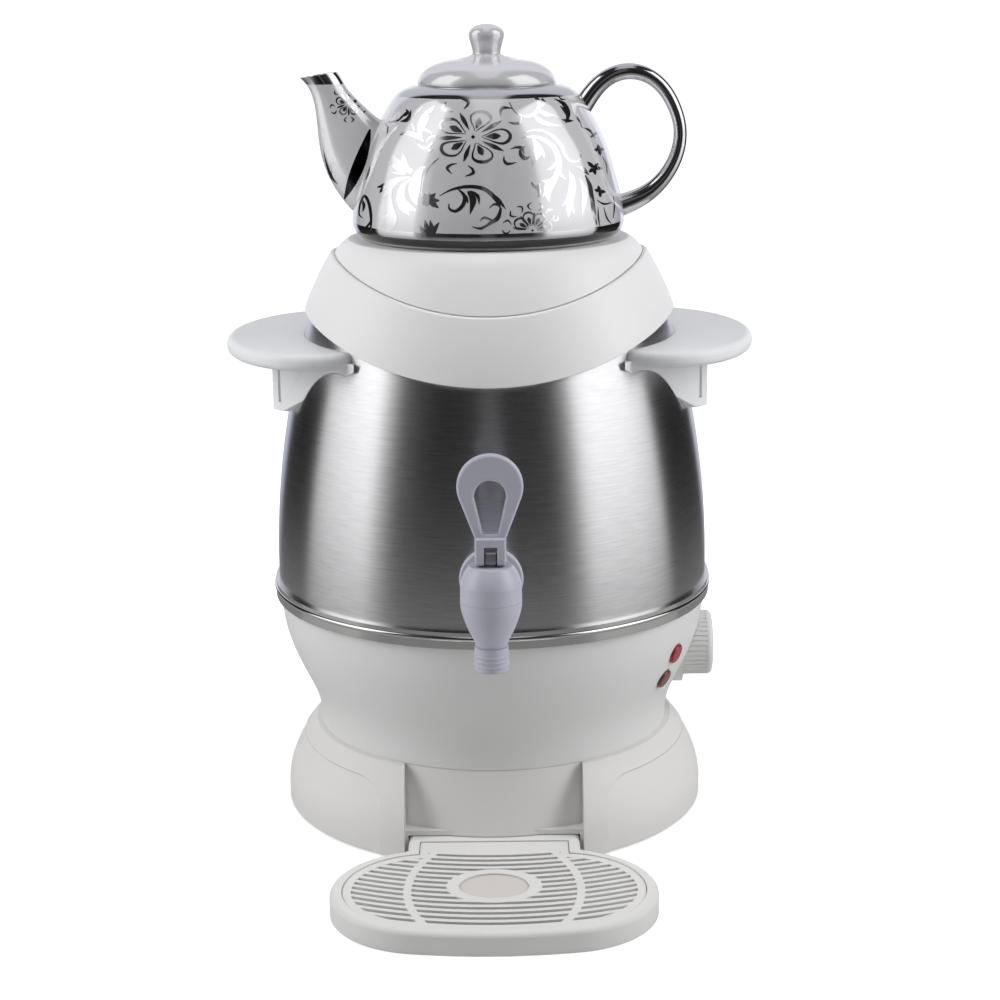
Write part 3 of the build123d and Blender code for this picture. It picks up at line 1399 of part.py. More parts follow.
with BuildPart() as tap_lever:
    # Finger loop: a teardrop ring that narrows to the block
    with BuildSketch(Plane.XZ.offset(-tap_y)):
        with Locations((0, loop_centre_z)):
            Circle(loop_r)
        with Locations((0, lever_top_z)):
            Rectangle(lever_width, 0.6, align=(Align.CENTER, Align.MAX))
        make_hull()
    extrude(amount=loop_thickness / 2, both=True)
    with BuildSketch(Plane.XZ.offset(-tap_y)):
        with Locations((0, loop_hole_z)):
            Circle(loop_hole_r)
        with Locations((0, loop_neck_z)):
            Rectangle(loop_neck_width, 0.4)
        make_hull()
    extrude(amount=loop_thickness, both=True, mode=Mode.SUBTRACT)
    rims = tap_lever.faces().filter_by(Axis.Y).edges()
    fillet([edge for edge in rims if edge.center().Z > lever_top_z + 0.1], loop_edge_r)
    # Block that turns on the pin, rounded below where it bears on the bonnet
    with BuildSketch(Plane.YZ):
        with Locations((tap_y, lever_low_z)):
            rectangle = Rectangle(lever_depth, lever_block_height, align=(Align.CENTER, Align.MIN))
        fillet(rectangle.vertices().group_by(Axis.Y)[0], lever_corner_r)
    extrude(amount=lever_width / 2, both=True)
    fillet(tap_lever.edges().filter_by(Axis.Z).filter_by(lambda edge: edge.center().Y < tap_y - 6), 1.2)
    # Slot for the stem's eye, open in front and below
    with BuildSketch(Plane.YZ):
        with Locations((tap_y + stem_r + 1, lever_pin_z + 3.2)):
            Rectangle(overcut, overcut, align=(Align.MAX, Align.MAX))
    extrude(amount=lever_slot_width / 2, both=True, mode=Mode.SUBTRACT)
    with Locations(Location((0, tap_y, lever_pin_z), (0, 90, 0))):
        Cylinder(lever_pin_r, lever_width - 1, mode=Mode.SUBTRACT)

with BuildPart() as shank_washer:
    with Locations(along_y(flange_face_y)):
        Cylinder(flange_r - 1.4, 6, align=DOWN)
        Cylinder(shank_r, overcut, mode=Mode.SUBTRACT)
    add(tank_volume, mode=Mode.SUBTRACT)

with BuildPart() as nut_washer:
    with Locations(along_y(inner_face_y)):
        Cylinder(flange_r - 2.4, 6, align=UP)
        Cylinder(shank_r, overcut, mode=Mode.SUBTRACT)
    add(barrel(tank_wall, tank_floor_z, tank_rim_z), mode=Mode.INTERSECT)

with BuildPart() as tap_nut:
    with BuildSketch(Plane.XZ.offset(-inner_face_y)):
        with Locations((0, tap_shank_z)):
            RegularPolygon(nut_flats / 2, 6, major_radius=False)
            Circle(shank_r, mode=Mode.SUBTRACT)
    extrude(amount=-nut_thickness)

# ---------------------------------------------------------------- drip tray
front_depth = tray_corner_y - tray_front_y
crown_r = (tray_corner_x**2 + front_depth**2 - tray_corner_r**2) / (2 * (front_depth - tray_corner_r))
crown_y = tray_front_y + crown_r
grille_back_half = tongue_half - tray_rim_width
tray_back_y = grille_back_y - 5.0
basin_back_y = grille_back_y - 9.0
grille_inset = tray_rim_width + slip_gap


def tray_face(inset, back_half, back_y):
    """Plan of the tray inset from its edge, with a straight-sided part running back to back_y."""
    reach = tray_corner_r - inset
    side_x = tray_corner_x * (crown_r - inset) / (crown_r - tray_corner_r)
    side_y = crown_y + (tray_corner_y - crown_y) * (crown_r - inset) / (crown_r - tray_corner_r)
    with BuildSketch() as plan:
        with BuildLine():
            ThreePointArc((-side_x, side_y), (0, tray_front_y + inset), (side_x, side_y))
            for side in (-1, 1):
                corner = (side * tray_corner_x, tray_corner_y)
                ThreePointArc(
                    (side * side_x, side_y),
                    (corner[0] + side * reach, corner[1]),
                    (corner[0], corner[1] + reach),
                )
            Line((-tray_corner_x, tray_corner_y + reach), (tray_corner_x, tray_corner_y + reach))
        make_face()
        with Locations((0, back_y)):
            Rectangle(2 * back_half, back_y - tray_corner_y, align=(Align.CENTER, Align.MAX))
    return plan.sketch


with BuildPart() as drip_tray:
    with BuildSketch(Plane.XY.offset(tray_bottom_z)):
        add(tray_face(0, tongue_half, tray_back_y))
    extrude(amount=tray_top_z - tray_bottom_z)
    with BuildSketch(Plane.XY.offset(tongue_low_z)):
        with Locations((0, tongue_end_y)):
            Rectangle(2 * tongue_half, tongue_length, align=(Align.CENTER, Align.MAX))
    extrude(amount=tray_top_z - tongue_low_z)
    top_edges = drip_tray.faces().sort_by(Axis.Z)[-1].edges()
    fillet([edge for edge in top_edges if edge.center().Y < tongue_end_y - 1], tray_edge_r)
    # Hollow under the tongue and under the rim
    with BuildSketch(Plane.XY.offset(tongue_low_z - 10)):
        with Locations((0, tongue_end_y - tray_wall)):
            Rectangle(
                2 * (tongue_half - tray_wall), tongue_hollow, align=(Align.CENTER, Align.MAX)
            )
    extrude(amount=tray_top_z - tray_wall - tray_rim_width / 2 - tongue_low_z + 10, mode=Mode.SUBTRACT)
    # Pocket of the grille, and the basin below it
    with BuildSketch(Plane.XY.offset(grille_low_z)):
        add(tray_face(tray_rim_width, grille_back_half, grille_back_y))
    extrude(amount=overcut, mode=Mode.SUBTRACT)
    with BuildSketch(Plane.XY.offset(tray_bottom_z + tray_floor)):
        add(tray_face(tray_rim_width + tray_wall, grille_back_half - tray_wall, basin_back_y))
    extrude(amount=overcut, mode=Mode.SUBTRACT)

slot_bow = Circle(grille_bow_r + grille_slot / 2) - Circle(grille_bow_r - grille_slot / 2)
rib_bow = Circle(grille_rib_r + grille_rib_width / 2) - Circle(grille_rib_r - grille_rib_width / 2)
slot_centres = [(0, grille_first_y - grille_pitch * row + grille_bow_r) for row in range(grille_rows)]

# Bowed slots in three fields, parted by two curved ribs and by the ring round the disc
with BuildSketch() as grille_slots:
    with Locations(*slot_centres):
        add(slot_bow)
    add(
        tray_face(tray_rim_width + grille_border, grille_back_half - grille_border, basin_back_y - 1),
        mode=Mode.INTERSECT,
    )
    with Locations((grille_rib_x, tray_corner_y), (-grille_rib_x, tray_corner_y)):
        add(rib_bow, mode=Mode.SUBTRACT)
    with Locations((0, disc_y)):
        Ellipse(grille_ring_x, grille_ring_y, mode=Mode.SUBTRACT)

with BuildPart() as drip_grille:
    with BuildSketch(Plane.XY.offset(grille_low_z)):
        add(tray_face(grille_inset, grille_back_half - slip_gap, grille_back_y - slip_gap))
    extrude(amount=grille_thickness)
    with BuildSketch(Plane.XY.offset(grille_low_z)):
        add(grille_slots.sketch)
    extrude(amount=grille_thickness, mode=Mode.SUBTRACT)
    # Raised underside and pocket for the disc
    with BuildSketch(Plane.XY.offset(grille_low_z)):
        with Locations((0, disc_y)):
            Ellipse(disc_half_x + disc_border, disc_half_y + disc_border)
    extrude(amount=-disc_thickness)
    with BuildSketch(Plane.XY.offset(grille_top_z)):
        with Locations((0, disc_y)):
            Ellipse(disc_half_x + trim_gap, disc_half_y + trim_gap)
    extrude(amount=-disc_drop - disc_thickness, mode=Mode.SUBTRACT)

with BuildPart() as grille_disc:
    with BuildSketch(Plane.XY.offset(grille_top_z - disc_drop)):
        with Locations((0, disc_y)):
            Ellipse(disc_half_x, disc_half_y)
    extrude(amount=-disc_thickness)

# ---------------------------------------------------------------- teapot
pot_top_z = pot_bottom_z + pot_height
pot_outline = [(pot_belly_r, pot_belly_height)] + pot_side
pot_outline = pot_outline + [(pot_shoulder_r, pot_shoulder_height), (pot_neck_r, pot_height)]


def pot_points(inset):
    """Points of the pot's side from the belly to the neck, moved in square to the side by an inset."""
    points = []
    for r, height in pot_outline:
        lean = (pot_belly_r - r) / (pot_belly_r - pot_neck_r)
        points.append((r - inset * sqrt(1 - lean**2), pot_bottom_z + height - inset * lean))
    return points


def pot_solid(inset, bottom_r, bottom_z):
    """Solid turned from the pot's side at an inset, on a round bottom."""
    points = pot_points(inset)
    with BuildPart() as volume:
        with BuildSketch(Plane.XZ):
            with BuildLine():
                Spline(points, tangents=[(0, 1), (-1, 0.3)])
                TangentArc(points[0], (bottom_r, bottom_z), tangent=(0, -1))
                Line((bottom_r, bottom_z), (0, bottom_z))
                Line((0, bottom_z), (0, points[-1][1]))
                Line((0, points[-1][1]), points[-1])
            make_face()
        revolve(axis=Axis.Z)
    return volume.part


pot_volume = pot_solid(0, pot_bottom_r, pot_bottom_z)
pot_cavity = pot_solid(pot_wall, pot_bottom_r, pot_bottom_z + pot_floor)

with BuildPart() as teapot_body:
    add(pot_volume)
    add(pot_cavity, mode=Mode.SUBTRACT)
    with Locations((0, 0, pot_top_z)):
        Cylinder(pot_mouth_r, overcut, mode=Mode.SUBTRACT)
    with Locations((0, 0, pot_bottom_z)):
        Cylinder(pot_bottom_r - 5, pot_foot_depth, align=UP, mode=Mode.SUBTRACT)
    # Strainer holes at the root of the spout
    for y, height in strainer_holes:
        with Locations(Location((-pot_shoulder_r, y, pot_bottom_z + height), (0, 90, 0))):
            Cylinder(strainer_hole_r, pot_shoulder_r, align=DOWN, mode=Mode.SUBTRACT)


def spout_face(low, high, half_width, inset, rise):
    """Oval of one spout section, shrunk by an inset and moved along the spout by a rise."""
    centre = Vector((low[0] + high[0]) / 2, 0, pot_bottom_z + (low[1] + high[1]) / 2)
    across = Vector(high[0] - low[0], 0, high[1] - low[1])
    along = across.cross(Vector(0, 1, 0)).normalized()
    with BuildSketch(Plane(origin=centre + along * rise, x_dir=across, z_dir=along)) as section:
        Ellipse(across.length / 2 - inset, half_width - inset)
    return section.sketch


with BuildPart() as teapot_spout:
    for low, high, half_width in spout_sections:
        add(spout_face(low, high, half_width, 0, 0))
    loft()
    for low, high, half_width in spout_sections:
        past_tip = 0.5 if low == spout_sections[-1][0] else 0
        add(spout_face(low, high, half_width, spout_wall, past_tip))
    loft(mode=Mode.SUBTRACT)
    add(pot_volume, mode=Mode.SUBTRACT)

handle_points = [Vector(x, 0, pot_bottom_z + height) for (x, height), thickness in pot_handle_line]

with BuildPart() as teapot_handle:
    for step, (point, thickness) in enumerate(pot_handle_line):
        before = handle_points[max(0, step - 1)]
        after = handle_points[min(len(handle_points) - 1, step + 1)]
        with BuildSketch(Plane(origin=handle_points[step], x_dir=(0, 1, 0), z_dir=after - before)):
            Ellipse(pot_handle_width * thickness / 2, thickness / 2)
    loft()
    add(pot_volume, mode=Mode.SUBTRACT)


def above_rim(point):
    """A point of the teapot lid's profile, given as radius and height above the pot's rim."""
    return (point[0], pot_top_z + point[1])


with BuildPart() as teapot_lid:
    with BuildSketch(Plane.XZ):
        dome_start = above_rim((pot_lid_r, pot_lid_rim))
        dome_end = above_rim(pot_lid_dome_end)
        knob_top = above_rim((0, pot_knob_height))
        with BuildLine():
            Line((0, pot_top_z), (pot_lid_r, pot_top_z))
            Line((pot_lid_r, pot_top_z), dome_start)
            Spline(
                [dome_start] + [above_rim(point) for point in pot_lid_dome] + [dome_end],
                tangents=[(-0.25, 1), (-1, 0.25)],
            )
            Spline(
                [dome_end] + [above_rim(point) for point in pot_knob_side] + [knob_top],
                tangents=[(-1, 0.1), (-1, 0)],
            )
            Line(knob_top, (0, pot_top_z))
        make_face()
    revolve(axis=Axis.Z)
    # Plug that drops into the pot's mouth, hollow below
    with Locations((0, 0, pot_top_z)):
        Cylinder(pot_mouth_r - slip_gap, pot_lid_plug, align=DOWN)
    with BuildSketch(Plane.XZ):
        hollow_r = pot_mouth_r - slip_gap - pot_wall
        plug_end_z = pot_top_z - pot_lid_plug
        hollow_top = (0, dome_end[1] - pot_wall)
        with BuildLine():
            Line((0, plug_end_z), (hollow_r, plug_end_z))
            Line((hollow_r, plug_end_z), (hollow_r, pot_top_z + pot_lid_rim))
            ThreePointArc(
                (hollow_r, pot_top_z + pot_lid_rim),
                (hollow_r * 0.62, above_rim(pot_lid_dome[1])[1] - 1.25 * pot_wall),
                hollow_top,
            )
            Line(hollow_top, (0, plug_end_z))
        make_face()
    revolve(axis=Axis.Z, mode=Mode.SUBTRACT)
    with Locations((0, vent_y, pot_top_z)):
        Cylinder(vent_hole_r, overcut, mode=Mode.SUBTRACT)

# ---------------------------------------------------------------- export
pieces = {
    "base_stand": base_stand,
    "bottom_cover": bottom_cover,
    "rubber_feet": rubber_feet,
    "cover_screws": cover_screws,
    "housing_screws": housing_screws,
    "lower_housing": lower_housing,
    "heating_lamp_lens": heating_lamp_lens,
    "warm_lamp_lens": warm_lamp_lens,
    "heating_lamp_bulb": heating_lamp_bulb,
    "warm_lamp_bulb": warm_lamp_bulb,
    "thermostat_body": thermostat_body,
    "thermostat_nut": thermostat_nut,
    "thermostat_shaft": thermostat_shaft,
    "control_knob": control_knob,
    "power_inlet": power_inlet,
    "inlet_pins": inlet_pins,
    "terminal_block": terminal_block,
    "terminal_screws": terminal_screws,
    "tank": tank,
    "trim_ring": trim_ring,
    "tank_studs": tank_studs,
    "stud_nuts": stud_nuts,
    "heater_plate": heater_plate,
    "heating_element": heating_element,
    "element_terminals": element_terminals,
    "thermal_cutout": thermal_cutout,
    "inner_leads": inner_leads,
    "left_handle": left_handle,
    "right_handle": right_handle,
    "handle_screws": handle_screws,
    "handle_washers": handle_washers,
    "top_collar": top_collar,
    "rim_seal": rim_seal,
    "collar_lugs": collar_lugs,
    "collar_screws": collar_screws,
    "tank_lid": tank_lid,
    "lid_seal": lid_seal,
    "steam_plate": steam_plate,
    "tap_body": tap_body,
    "tap_nozzle": tap_nozzle,
    "tap_bonnet": tap_bonnet,
    "tap_stem": tap_stem,
    "seat_cup": seat_cup,
    "tap_spring": tap_spring,
    "lever_pin": lever_pin,
    "tap_lever": tap_lever,
    "shank_washer": shank_washer,
    "nut_washer": nut_washer,
    "tap_nut": tap_nut,
    "drip_tray": drip_tray,
    "drip_grille": drip_grille,
    "grille_disc": grille_disc,
    "teapot_body": teapot_body,
    "teapot_spout": teapot_spout,
    "teapot_handle": teapot_handle,
    "teapot_lid": teapot_lid,
}
for label, piece in pieces.items():
    piece.part.label = label
    export_step(piece.part, f"parts/{label}.step")
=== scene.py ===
"""Samovar with its porcelain teapot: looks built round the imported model."""

import json
import math

import bmesh
import bpy
from mathutils import Matrix, Vector
from mathutils.bvhtree import BVHTree


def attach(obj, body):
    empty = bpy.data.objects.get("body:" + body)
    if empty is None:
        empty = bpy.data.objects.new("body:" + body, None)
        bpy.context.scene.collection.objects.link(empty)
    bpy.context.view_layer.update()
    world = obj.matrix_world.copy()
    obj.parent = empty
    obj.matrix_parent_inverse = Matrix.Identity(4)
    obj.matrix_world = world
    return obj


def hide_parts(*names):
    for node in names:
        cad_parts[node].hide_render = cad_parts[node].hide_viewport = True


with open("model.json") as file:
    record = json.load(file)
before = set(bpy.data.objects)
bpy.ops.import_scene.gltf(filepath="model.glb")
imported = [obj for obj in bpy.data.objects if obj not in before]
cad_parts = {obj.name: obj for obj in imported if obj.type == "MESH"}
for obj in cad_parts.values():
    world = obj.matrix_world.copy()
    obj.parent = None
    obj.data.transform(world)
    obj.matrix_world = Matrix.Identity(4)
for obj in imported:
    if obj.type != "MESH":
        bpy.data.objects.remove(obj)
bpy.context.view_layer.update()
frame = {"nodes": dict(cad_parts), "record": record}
MM = 0.001
node_of = frame["nodes"]

# ---------------------------------------------------------------- camera, light and stage

SENSOR, LENS = 36.0, 75.7       # millimetres
PICTURE = 1000.0                # width and height of the picture in pixels
CAMERA_PLACE = (0.00448, -1.068, 0.425)
CAMERA_LOOKS_DOWN, CAMERA_ROLL = 14.0, -0.57       # degrees

scene = bpy.context.scene
scene.view_settings.view_transform = "Standard"

camera_data = bpy.data.cameras.new("camera")
camera_data.sensor_width = SENSOR
camera_data.lens = LENS
camera_data.clip_start = 0.01
camera = bpy.data.objects.new("camera", camera_data)
tilt = Matrix.Rotation(math.radians(90 - CAMERA_LOOKS_DOWN), 4, "X")
roll = Matrix.Rotation(math.radians(CAMERA_ROLL), 4, "Z")
camera.matrix_world = Matrix.Translation(CAMERA_PLACE) @ tilt @ roll
scene.collection.objects.link(camera)
scene.camera = camera


def softbox(name, place, aim, width, height, power):
    """A white rectangular lamp at place that faces aim, which metal doesn't mirror."""
    data = bpy.data.lights.new(name, "AREA")
    data.shape = "RECTANGLE"
    data.size = width
    data.size_y = height
    data.energy = power
    lamp = bpy.data.objects.new(name, data)
    lamp.location = place
    lamp.visible_glossy = False
    lamp.rotation_euler = (Vector(aim) - Vector(place)).to_track_quat("-Z", "Y").to_euler()
    scene.collection.objects.link(lamp)


softbox("left_softbox", (-1.22, -0.22, 0.85), (0, 0, 0.20), 0.6, 1.0, 13.0)
softbox("right_softbox", (1.22, -0.26, 0.85), (0, 0, 0.20), 0.6, 1.0, 13.5)
softbox("top_softbox", (0.0, -0.20, 1.50), (0, 0, 0.1), 0.9, 0.9, 4.0)


class Tree:
    """Adds and links nodes in one node tree; an input is a socket to link or a plain value."""

    def __init__(self, tree):
        self.tree = tree
        self.links = tree.links

    def add(self, kind, inputs=None, **settings):
        node = self.tree.nodes.new(kind)
        for key, value in settings.items():
            setattr(node, key, value)
        for key, value in (inputs or {}).items():
            if isinstance(value, bpy.types.NodeSocket):
                self.links.new(value, node.inputs[key])
            else:
                node.inputs[key].default_value = value
        return node

    def math(self, operation, a, b=0.0):
        return self.add("ShaderNodeMath", {0: a, 1: b}, operation=operation).outputs[0]

    def span(self, value, low, high, to_low=0.0, to_high=1.0, smooth=False):
        """A value's place between low and high, as a number from to_low to to_high."""
        node = self.add("ShaderNodeMapRange", {0: value, 1: low, 2: high, 3: to_low, 4: to_high})
        if smooth:
            node.interpolation_type = "SMOOTHSTEP"
        return node.outputs[0]

    def ramp(self, value, stops):
        """Colours by value, from stops of (value, colour)."""
        node = self.add("ShaderNodeValToRGB", {0: value})
        ramp = node.color_ramp
        for index, (place, colour) in ((0, stops[0]), (1, stops[-1])):
            ramp.elements[index].position = place
            ramp.elements[index].color = (*colour, 1.0)
        for place, colour in stops[1:-1]:
            ramp.elements.new(place).color = (*colour, 1.0)
        return node.outputs[0]

    def mix(self, factor, a, b):
        """Colour a where factor is 0, colour b where it is 1."""
        node = self.add("ShaderNodeMix", {0: factor}, data_type="RGBA")
        for index, value in ((6, a), (7, b)):
            if isinstance(value, bpy.types.NodeSocket):
                self.links.new(value, node.inputs[index])
            else:
                node.inputs[index].default_value = (*value, 1.0)
        return node.outputs[2]


def grey(level):
    return (level, level, level)


world = bpy.data.worlds.new("studio")
scene.world = world
world.use_nodes = True
world.node_tree.nodes.clear()
w = Tree(world.node_tree)


def surroundings(t, x, y):
    """What metal sees round the table, by the direction x, y: white behind, lit panels at both
    sides, and a dim room in front with a small window. A stop's place is the share of a full turn,
    from straight behind, past the left side, the front at 0.5 and the right side."""
    turn = t.math("ARCTAN2", x, t.math("MULTIPLY", y, -1.0))
    turn = t.span(turn, -math.pi, math.pi)
    dark = grey(0.012)
    white_behind, pale_behind = grey(0.86), (0.68, 0.70, 0.84)
    behind_left = [(0.00, white_behind), (0.083, pale_behind), (0.102, dark), (0.198, dark)]
    left_panel = [
        (0.211, grey(0.80)), (0.250, grey(1.00)), (0.318, grey(1.20)), (0.326, grey(0.60)),
        (0.345, grey(0.24)), (0.355, grey(0.05)),
    ]
    front = [
        (0.42, dark), (0.480, dark), (0.490, grey(0.07)), (0.510, grey(0.07)), (0.52, dark),
    ]
    right_panel = [
        (0.60, grey(0.03)), (0.626, grey(0.24)), (0.640, grey(0.95)), (0.660, grey(1.15)),
        (0.730, grey(1.10)), (0.776, grey(0.85)),
    ]
    behind_right = [
        (0.786, dark), (0.906, dark), (0.922, (0.78, 0.80, 0.92)), (1.00, white_behind),
    ]
    return t.ramp(turn, behind_left + left_panel + front + right_panel + behind_right)


way = w.add("ShaderNodeTexCoord").outputs["Generated"]
parts = w.add("ShaderNodeSeparateXYZ", {0: way})
around = surroundings(w, parts.outputs[0], parts.outputs[1])
lean = w.math("ABSOLUTE", parts.outputs[0])
ceiling = w.mix(w.span(lean, 0.16, 0.26), grey(0.34), grey(0.02))
around = w.mix(w.span(parts.outputs[2], 0.80, 0.84, smooth=True), around, ceiling)
taller = w.span(parts.outputs[2], -0.05, 0.20, 1.0, 1.5)
# the wall behind is greyer higher up, so that bright metal stands out against the white
behind = w.span(w.math("SUBTRACT", parts.outputs[1], lean), 0.0, 0.18)
behind = w.math("MULTIPLY", behind, w.span(parts.outputs[2], 0.02, 0.30))
around = w.mix(behind, around, (0.40, 0.405, 0.44))
ray = w.add("ShaderNodeLightPath")
seen_in_metal = w.add("ShaderNodeBackground", {"Color": around, "Strength": taller})
lit = w.add("ShaderNodeBackground", {"Color": (0.97, 0.98, 1.0, 1.0), "Strength": 0.20})
white = w.add("ShaderNodeBackground", {"Color": (1, 1, 1, 1), "Strength": 1.0})
glossy = w.add("ShaderNodeMixShader", {0: ray.outputs["Is Glossy Ray"]})
w.links.new(lit.outputs[0], glossy.inputs[1])
w.links.new(seen_in_metal.outputs[0], glossy.inputs[2])
clear = w.math("MAXIMUM", ray.outputs["Is Camera Ray"], ray.outputs["Is Transmission Ray"])
direct = w.add("ShaderNodeMixShader", {0: clear})
w.links.new(glossy.outputs[0], direct.inputs[1])
w.links.new(white.outputs[0], direct.inputs[2])
w.add("ShaderNodeOutputWorld", {0: direct.outputs[0]})


def new_mesh(name, points, faces):
    """A smooth-shaded object."""
    mesh = bpy.data.meshes.new(name)
    mesh.from_pydata([tuple(p) for p in points], [], faces)
    mesh.update()
    mesh.polygons.foreach_set("use_smooth", [True] * len(mesh.polygons))
    obj = bpy.data.objects.new(name, mesh)
    scene.collection.objects.link(obj)
    return obj


def floor_material():
    """White paper with its shadow near the object; metal mirrors it as the room past its edge."""
    material = bpy.data.materials.new("floor_paper")
    material.use_nodes = True
    material.node_tree.nodes.clear()
    t = Tree(material.node_tree)
    place = t.add("ShaderNodeTexCoord").outputs["Object"]
    fibre = t.add("ShaderNodeTexNoise", {"Vector": place, "Scale": 60.0, "Detail": 4.0})
    tone = t.ramp(fibre.outputs[0], [(0.3, grey(0.70)), (0.7, grey(0.73))])
    skin = t.add("ShaderNodeBsdfPrincipled", {"Base Color": tone, "Roughness": 0.9})
    skin.inputs["Specular IOR Level"].default_value = 0.0
    ray = t.add("ShaderNodeLightPath")
    at = t.add("ShaderNodeSeparateXYZ", {0: place})
    reach = t.add("ShaderNodeVectorMath", {0: place}, operation="LENGTH").outputs["Value"]
    # to the camera the paper goes white away from the object and keeps its shadow close by
    shown = t.math("MAXIMUM", ray.outputs["Is Camera Ray"], ray.outputs["Is Transmission Ray"])
    glow = t.math("MULTIPLY", shown, t.span(reach, 0.12, 0.50, 0.75, 1.4, smooth=True))
    t.links.new(tone, skin.inputs["Emission Color"])
    t.links.new(glow, skin.inputs["Emission Strength"])
    # metal sees the paper near the object, and the room's panels and gaps past it
    sight = surroundings(t, at.outputs[0], at.outputs[1])
    sight = t.mix(t.span(reach, 0.5, 1.6, 0.45, 0.0), sight, grey(0.06))
    sight = t.mix(t.span(reach, 0.30, 0.85), grey(0.30), sight)
    mirrored = t.add("ShaderNodeEmission", {"Color": sight, "Strength": 1.0})
    both = t.add("ShaderNodeMixShader", {0: ray.outputs["Is Glossy Ray"]})
    t.links.new(skin.outputs[0], both.inputs[1])
    t.links.new(mirrored.outputs[0], both.inputs[2])
    t.add("ShaderNodeOutputMaterial", {0: both.outputs[0]})
    return material


FLOOR_REACH = 30.0
floor = new_mesh(
    "floor",
    [(FLOOR_REACH * x, FLOOR_REACH * y, 0) for x, y in ((-1, -1), (1, -1), (1, 1), (-1, 1))],
    [(0, 1, 2, 3)],
)
floor.data.materials.append(floor_material())

# ---------------------------------------------------------------- materials


def start(name):
    """A new material, its node tree and the place on the object."""
    material = bpy.data.materials.new(name)
    material.use_nodes = True
    material.node_tree.nodes.clear()
    t = Tree(material.node_tree)
    place = t.add("ShaderNodeTexCoord").outputs["Object"]
    return material, t, place


def finish(t, skin, bump=None):
    """Puts the skin on the surface, with a bumped normal if there is one."""
    if bump is not None:
        t.links.new(bump, skin.inputs["Normal"])
    t.add("ShaderNodeOutputMaterial", {0: skin.outputs[0]})


def noise(t, place, scale, detail=3.0, rough=0.5):
    return t.add(
        "ShaderNodeTexNoise",
        {"Vector": place, "Scale": scale, "Detail": detail, "Roughness": rough},
    ).outputs[0]


def shade(colour, factor):
    return tuple(min(1.0, c * factor) for c in colour)


def plastic(name, colour, rough, grain=900.0, depth=0.00002, swing=0.012):
    """Moulded plastic: faint flow marks in the colour, uneven gloss, a fine spark-eroded grain."""
    material, t, place = start(name)
    flow = noise(t, place, 14.0, 4.0, 0.6)
    tone = t.ramp(flow, [(0.3, shade(colour, 1 - swing)), (0.7, shade(colour, 1 + swing))])
    gloss = t.span(noise(t, place, 45.0, 3.0), 0.3, 0.7, rough - 0.04, rough + 0.05)
    skin = t.add("ShaderNodeBsdfPrincipled", {"Base Color": tone, "Roughness": gloss})
    skin.inputs["IOR"].default_value = 1.48
    fine = noise(t, place, grain, 2.0)
    rounded = t.add("ShaderNodeBevel", {"Radius": 0.0006}, samples=4)
    bump = t.add(
        "ShaderNodeBump",
        {"Height": fine, "Distance": depth, "Strength": 0.6, "Normal": rounded.outputs[0]},
    )
    finish(t, skin, bump.outputs[0])
    return material


def steel_tank(name):
    """Brushed steel: fine rings round the axis, glossier along the brush lines than across."""
    material, t, place = start(name)
    at = t.add("ShaderNodeSeparateXYZ", {0: place})
    turn = t.math("ARCTAN2", at.outputs[0], t.math("MULTIPLY", at.outputs[1], -1.0))
    fine = t.add(
        "ShaderNodeCombineXYZ",
        {0: t.math("MULTIPLY", turn, 3.0), 1: t.math("MULTIPLY", at.outputs[2], 3200.0), 2: 0.0},
    )
    brush = noise(t, fine.outputs[0], 1.0, 4.0, 0.7)
    wide = t.add(
        "ShaderNodeCombineXYZ",
        {0: t.math("MULTIPLY", turn, 9.0), 1: t.math("MULTIPLY", at.outputs[2], 900.0), 2: 3.0},
    )
    streak = noise(t, wide.outputs[0], 1.0, 3.0, 0.5)
    lines = t.math("ADD", t.math("MULTIPLY", brush, 0.65), t.math("MULTIPLY", streak, 0.35))
    tone = t.ramp(lines, [(0.34, (0.60, 0.60, 0.615)), (0.66, (0.80, 0.80, 0.81))])
    gloss = t.span(lines, 0.3, 0.7, 0.26, 0.33)
    skin = t.add(
        "ShaderNodeBsdfPrincipled", {"Base Color": tone, "Metallic": 1.0, "Roughness": gloss}
    )
    skin.inputs["Anisotropic"].default_value = 0.85
    skin.inputs["Anisotropic Rotation"].default_value = 0.25
    grain = t.add("ShaderNodeTangent", direction_type="RADIAL", axis="Z")
    t.links.new(grain.outputs[0], skin.inputs["Tangent"])
    bump = t.add("ShaderNodeBump", {"Height": brush, "Distance": 0.00002, "Strength": 0.3})
    finish(t, skin, bump.outputs[0])
    return material


def metal(name, colour, rough, scale=60.0):
    """Plain metal with an uneven gloss and fine marks."""
    material, t, place = start(name)
    tone = t.ramp(
        noise(t, place, scale, 4.0), [(0.3, shade(colour, 0.95)), (0.7, colour)]
    )
    gloss = t.span(noise(t, place, scale * 2.3, 3.0), 0.3, 0.7, rough * 0.8, rough * 1.25)
    skin = t.add(
        "ShaderNodeBsdfPrincipled", {"Base Color": tone, "Metallic": 1.0, "Roughness": gloss}
    )
    bump = t.add(
        "ShaderNodeBump",
        {"Height": noise(t, place, 500.0, 2.0), "Distance": 0.00001, "Strength": 0.5},
    )
    finish(t, skin, bump.outputs[0])
    return material


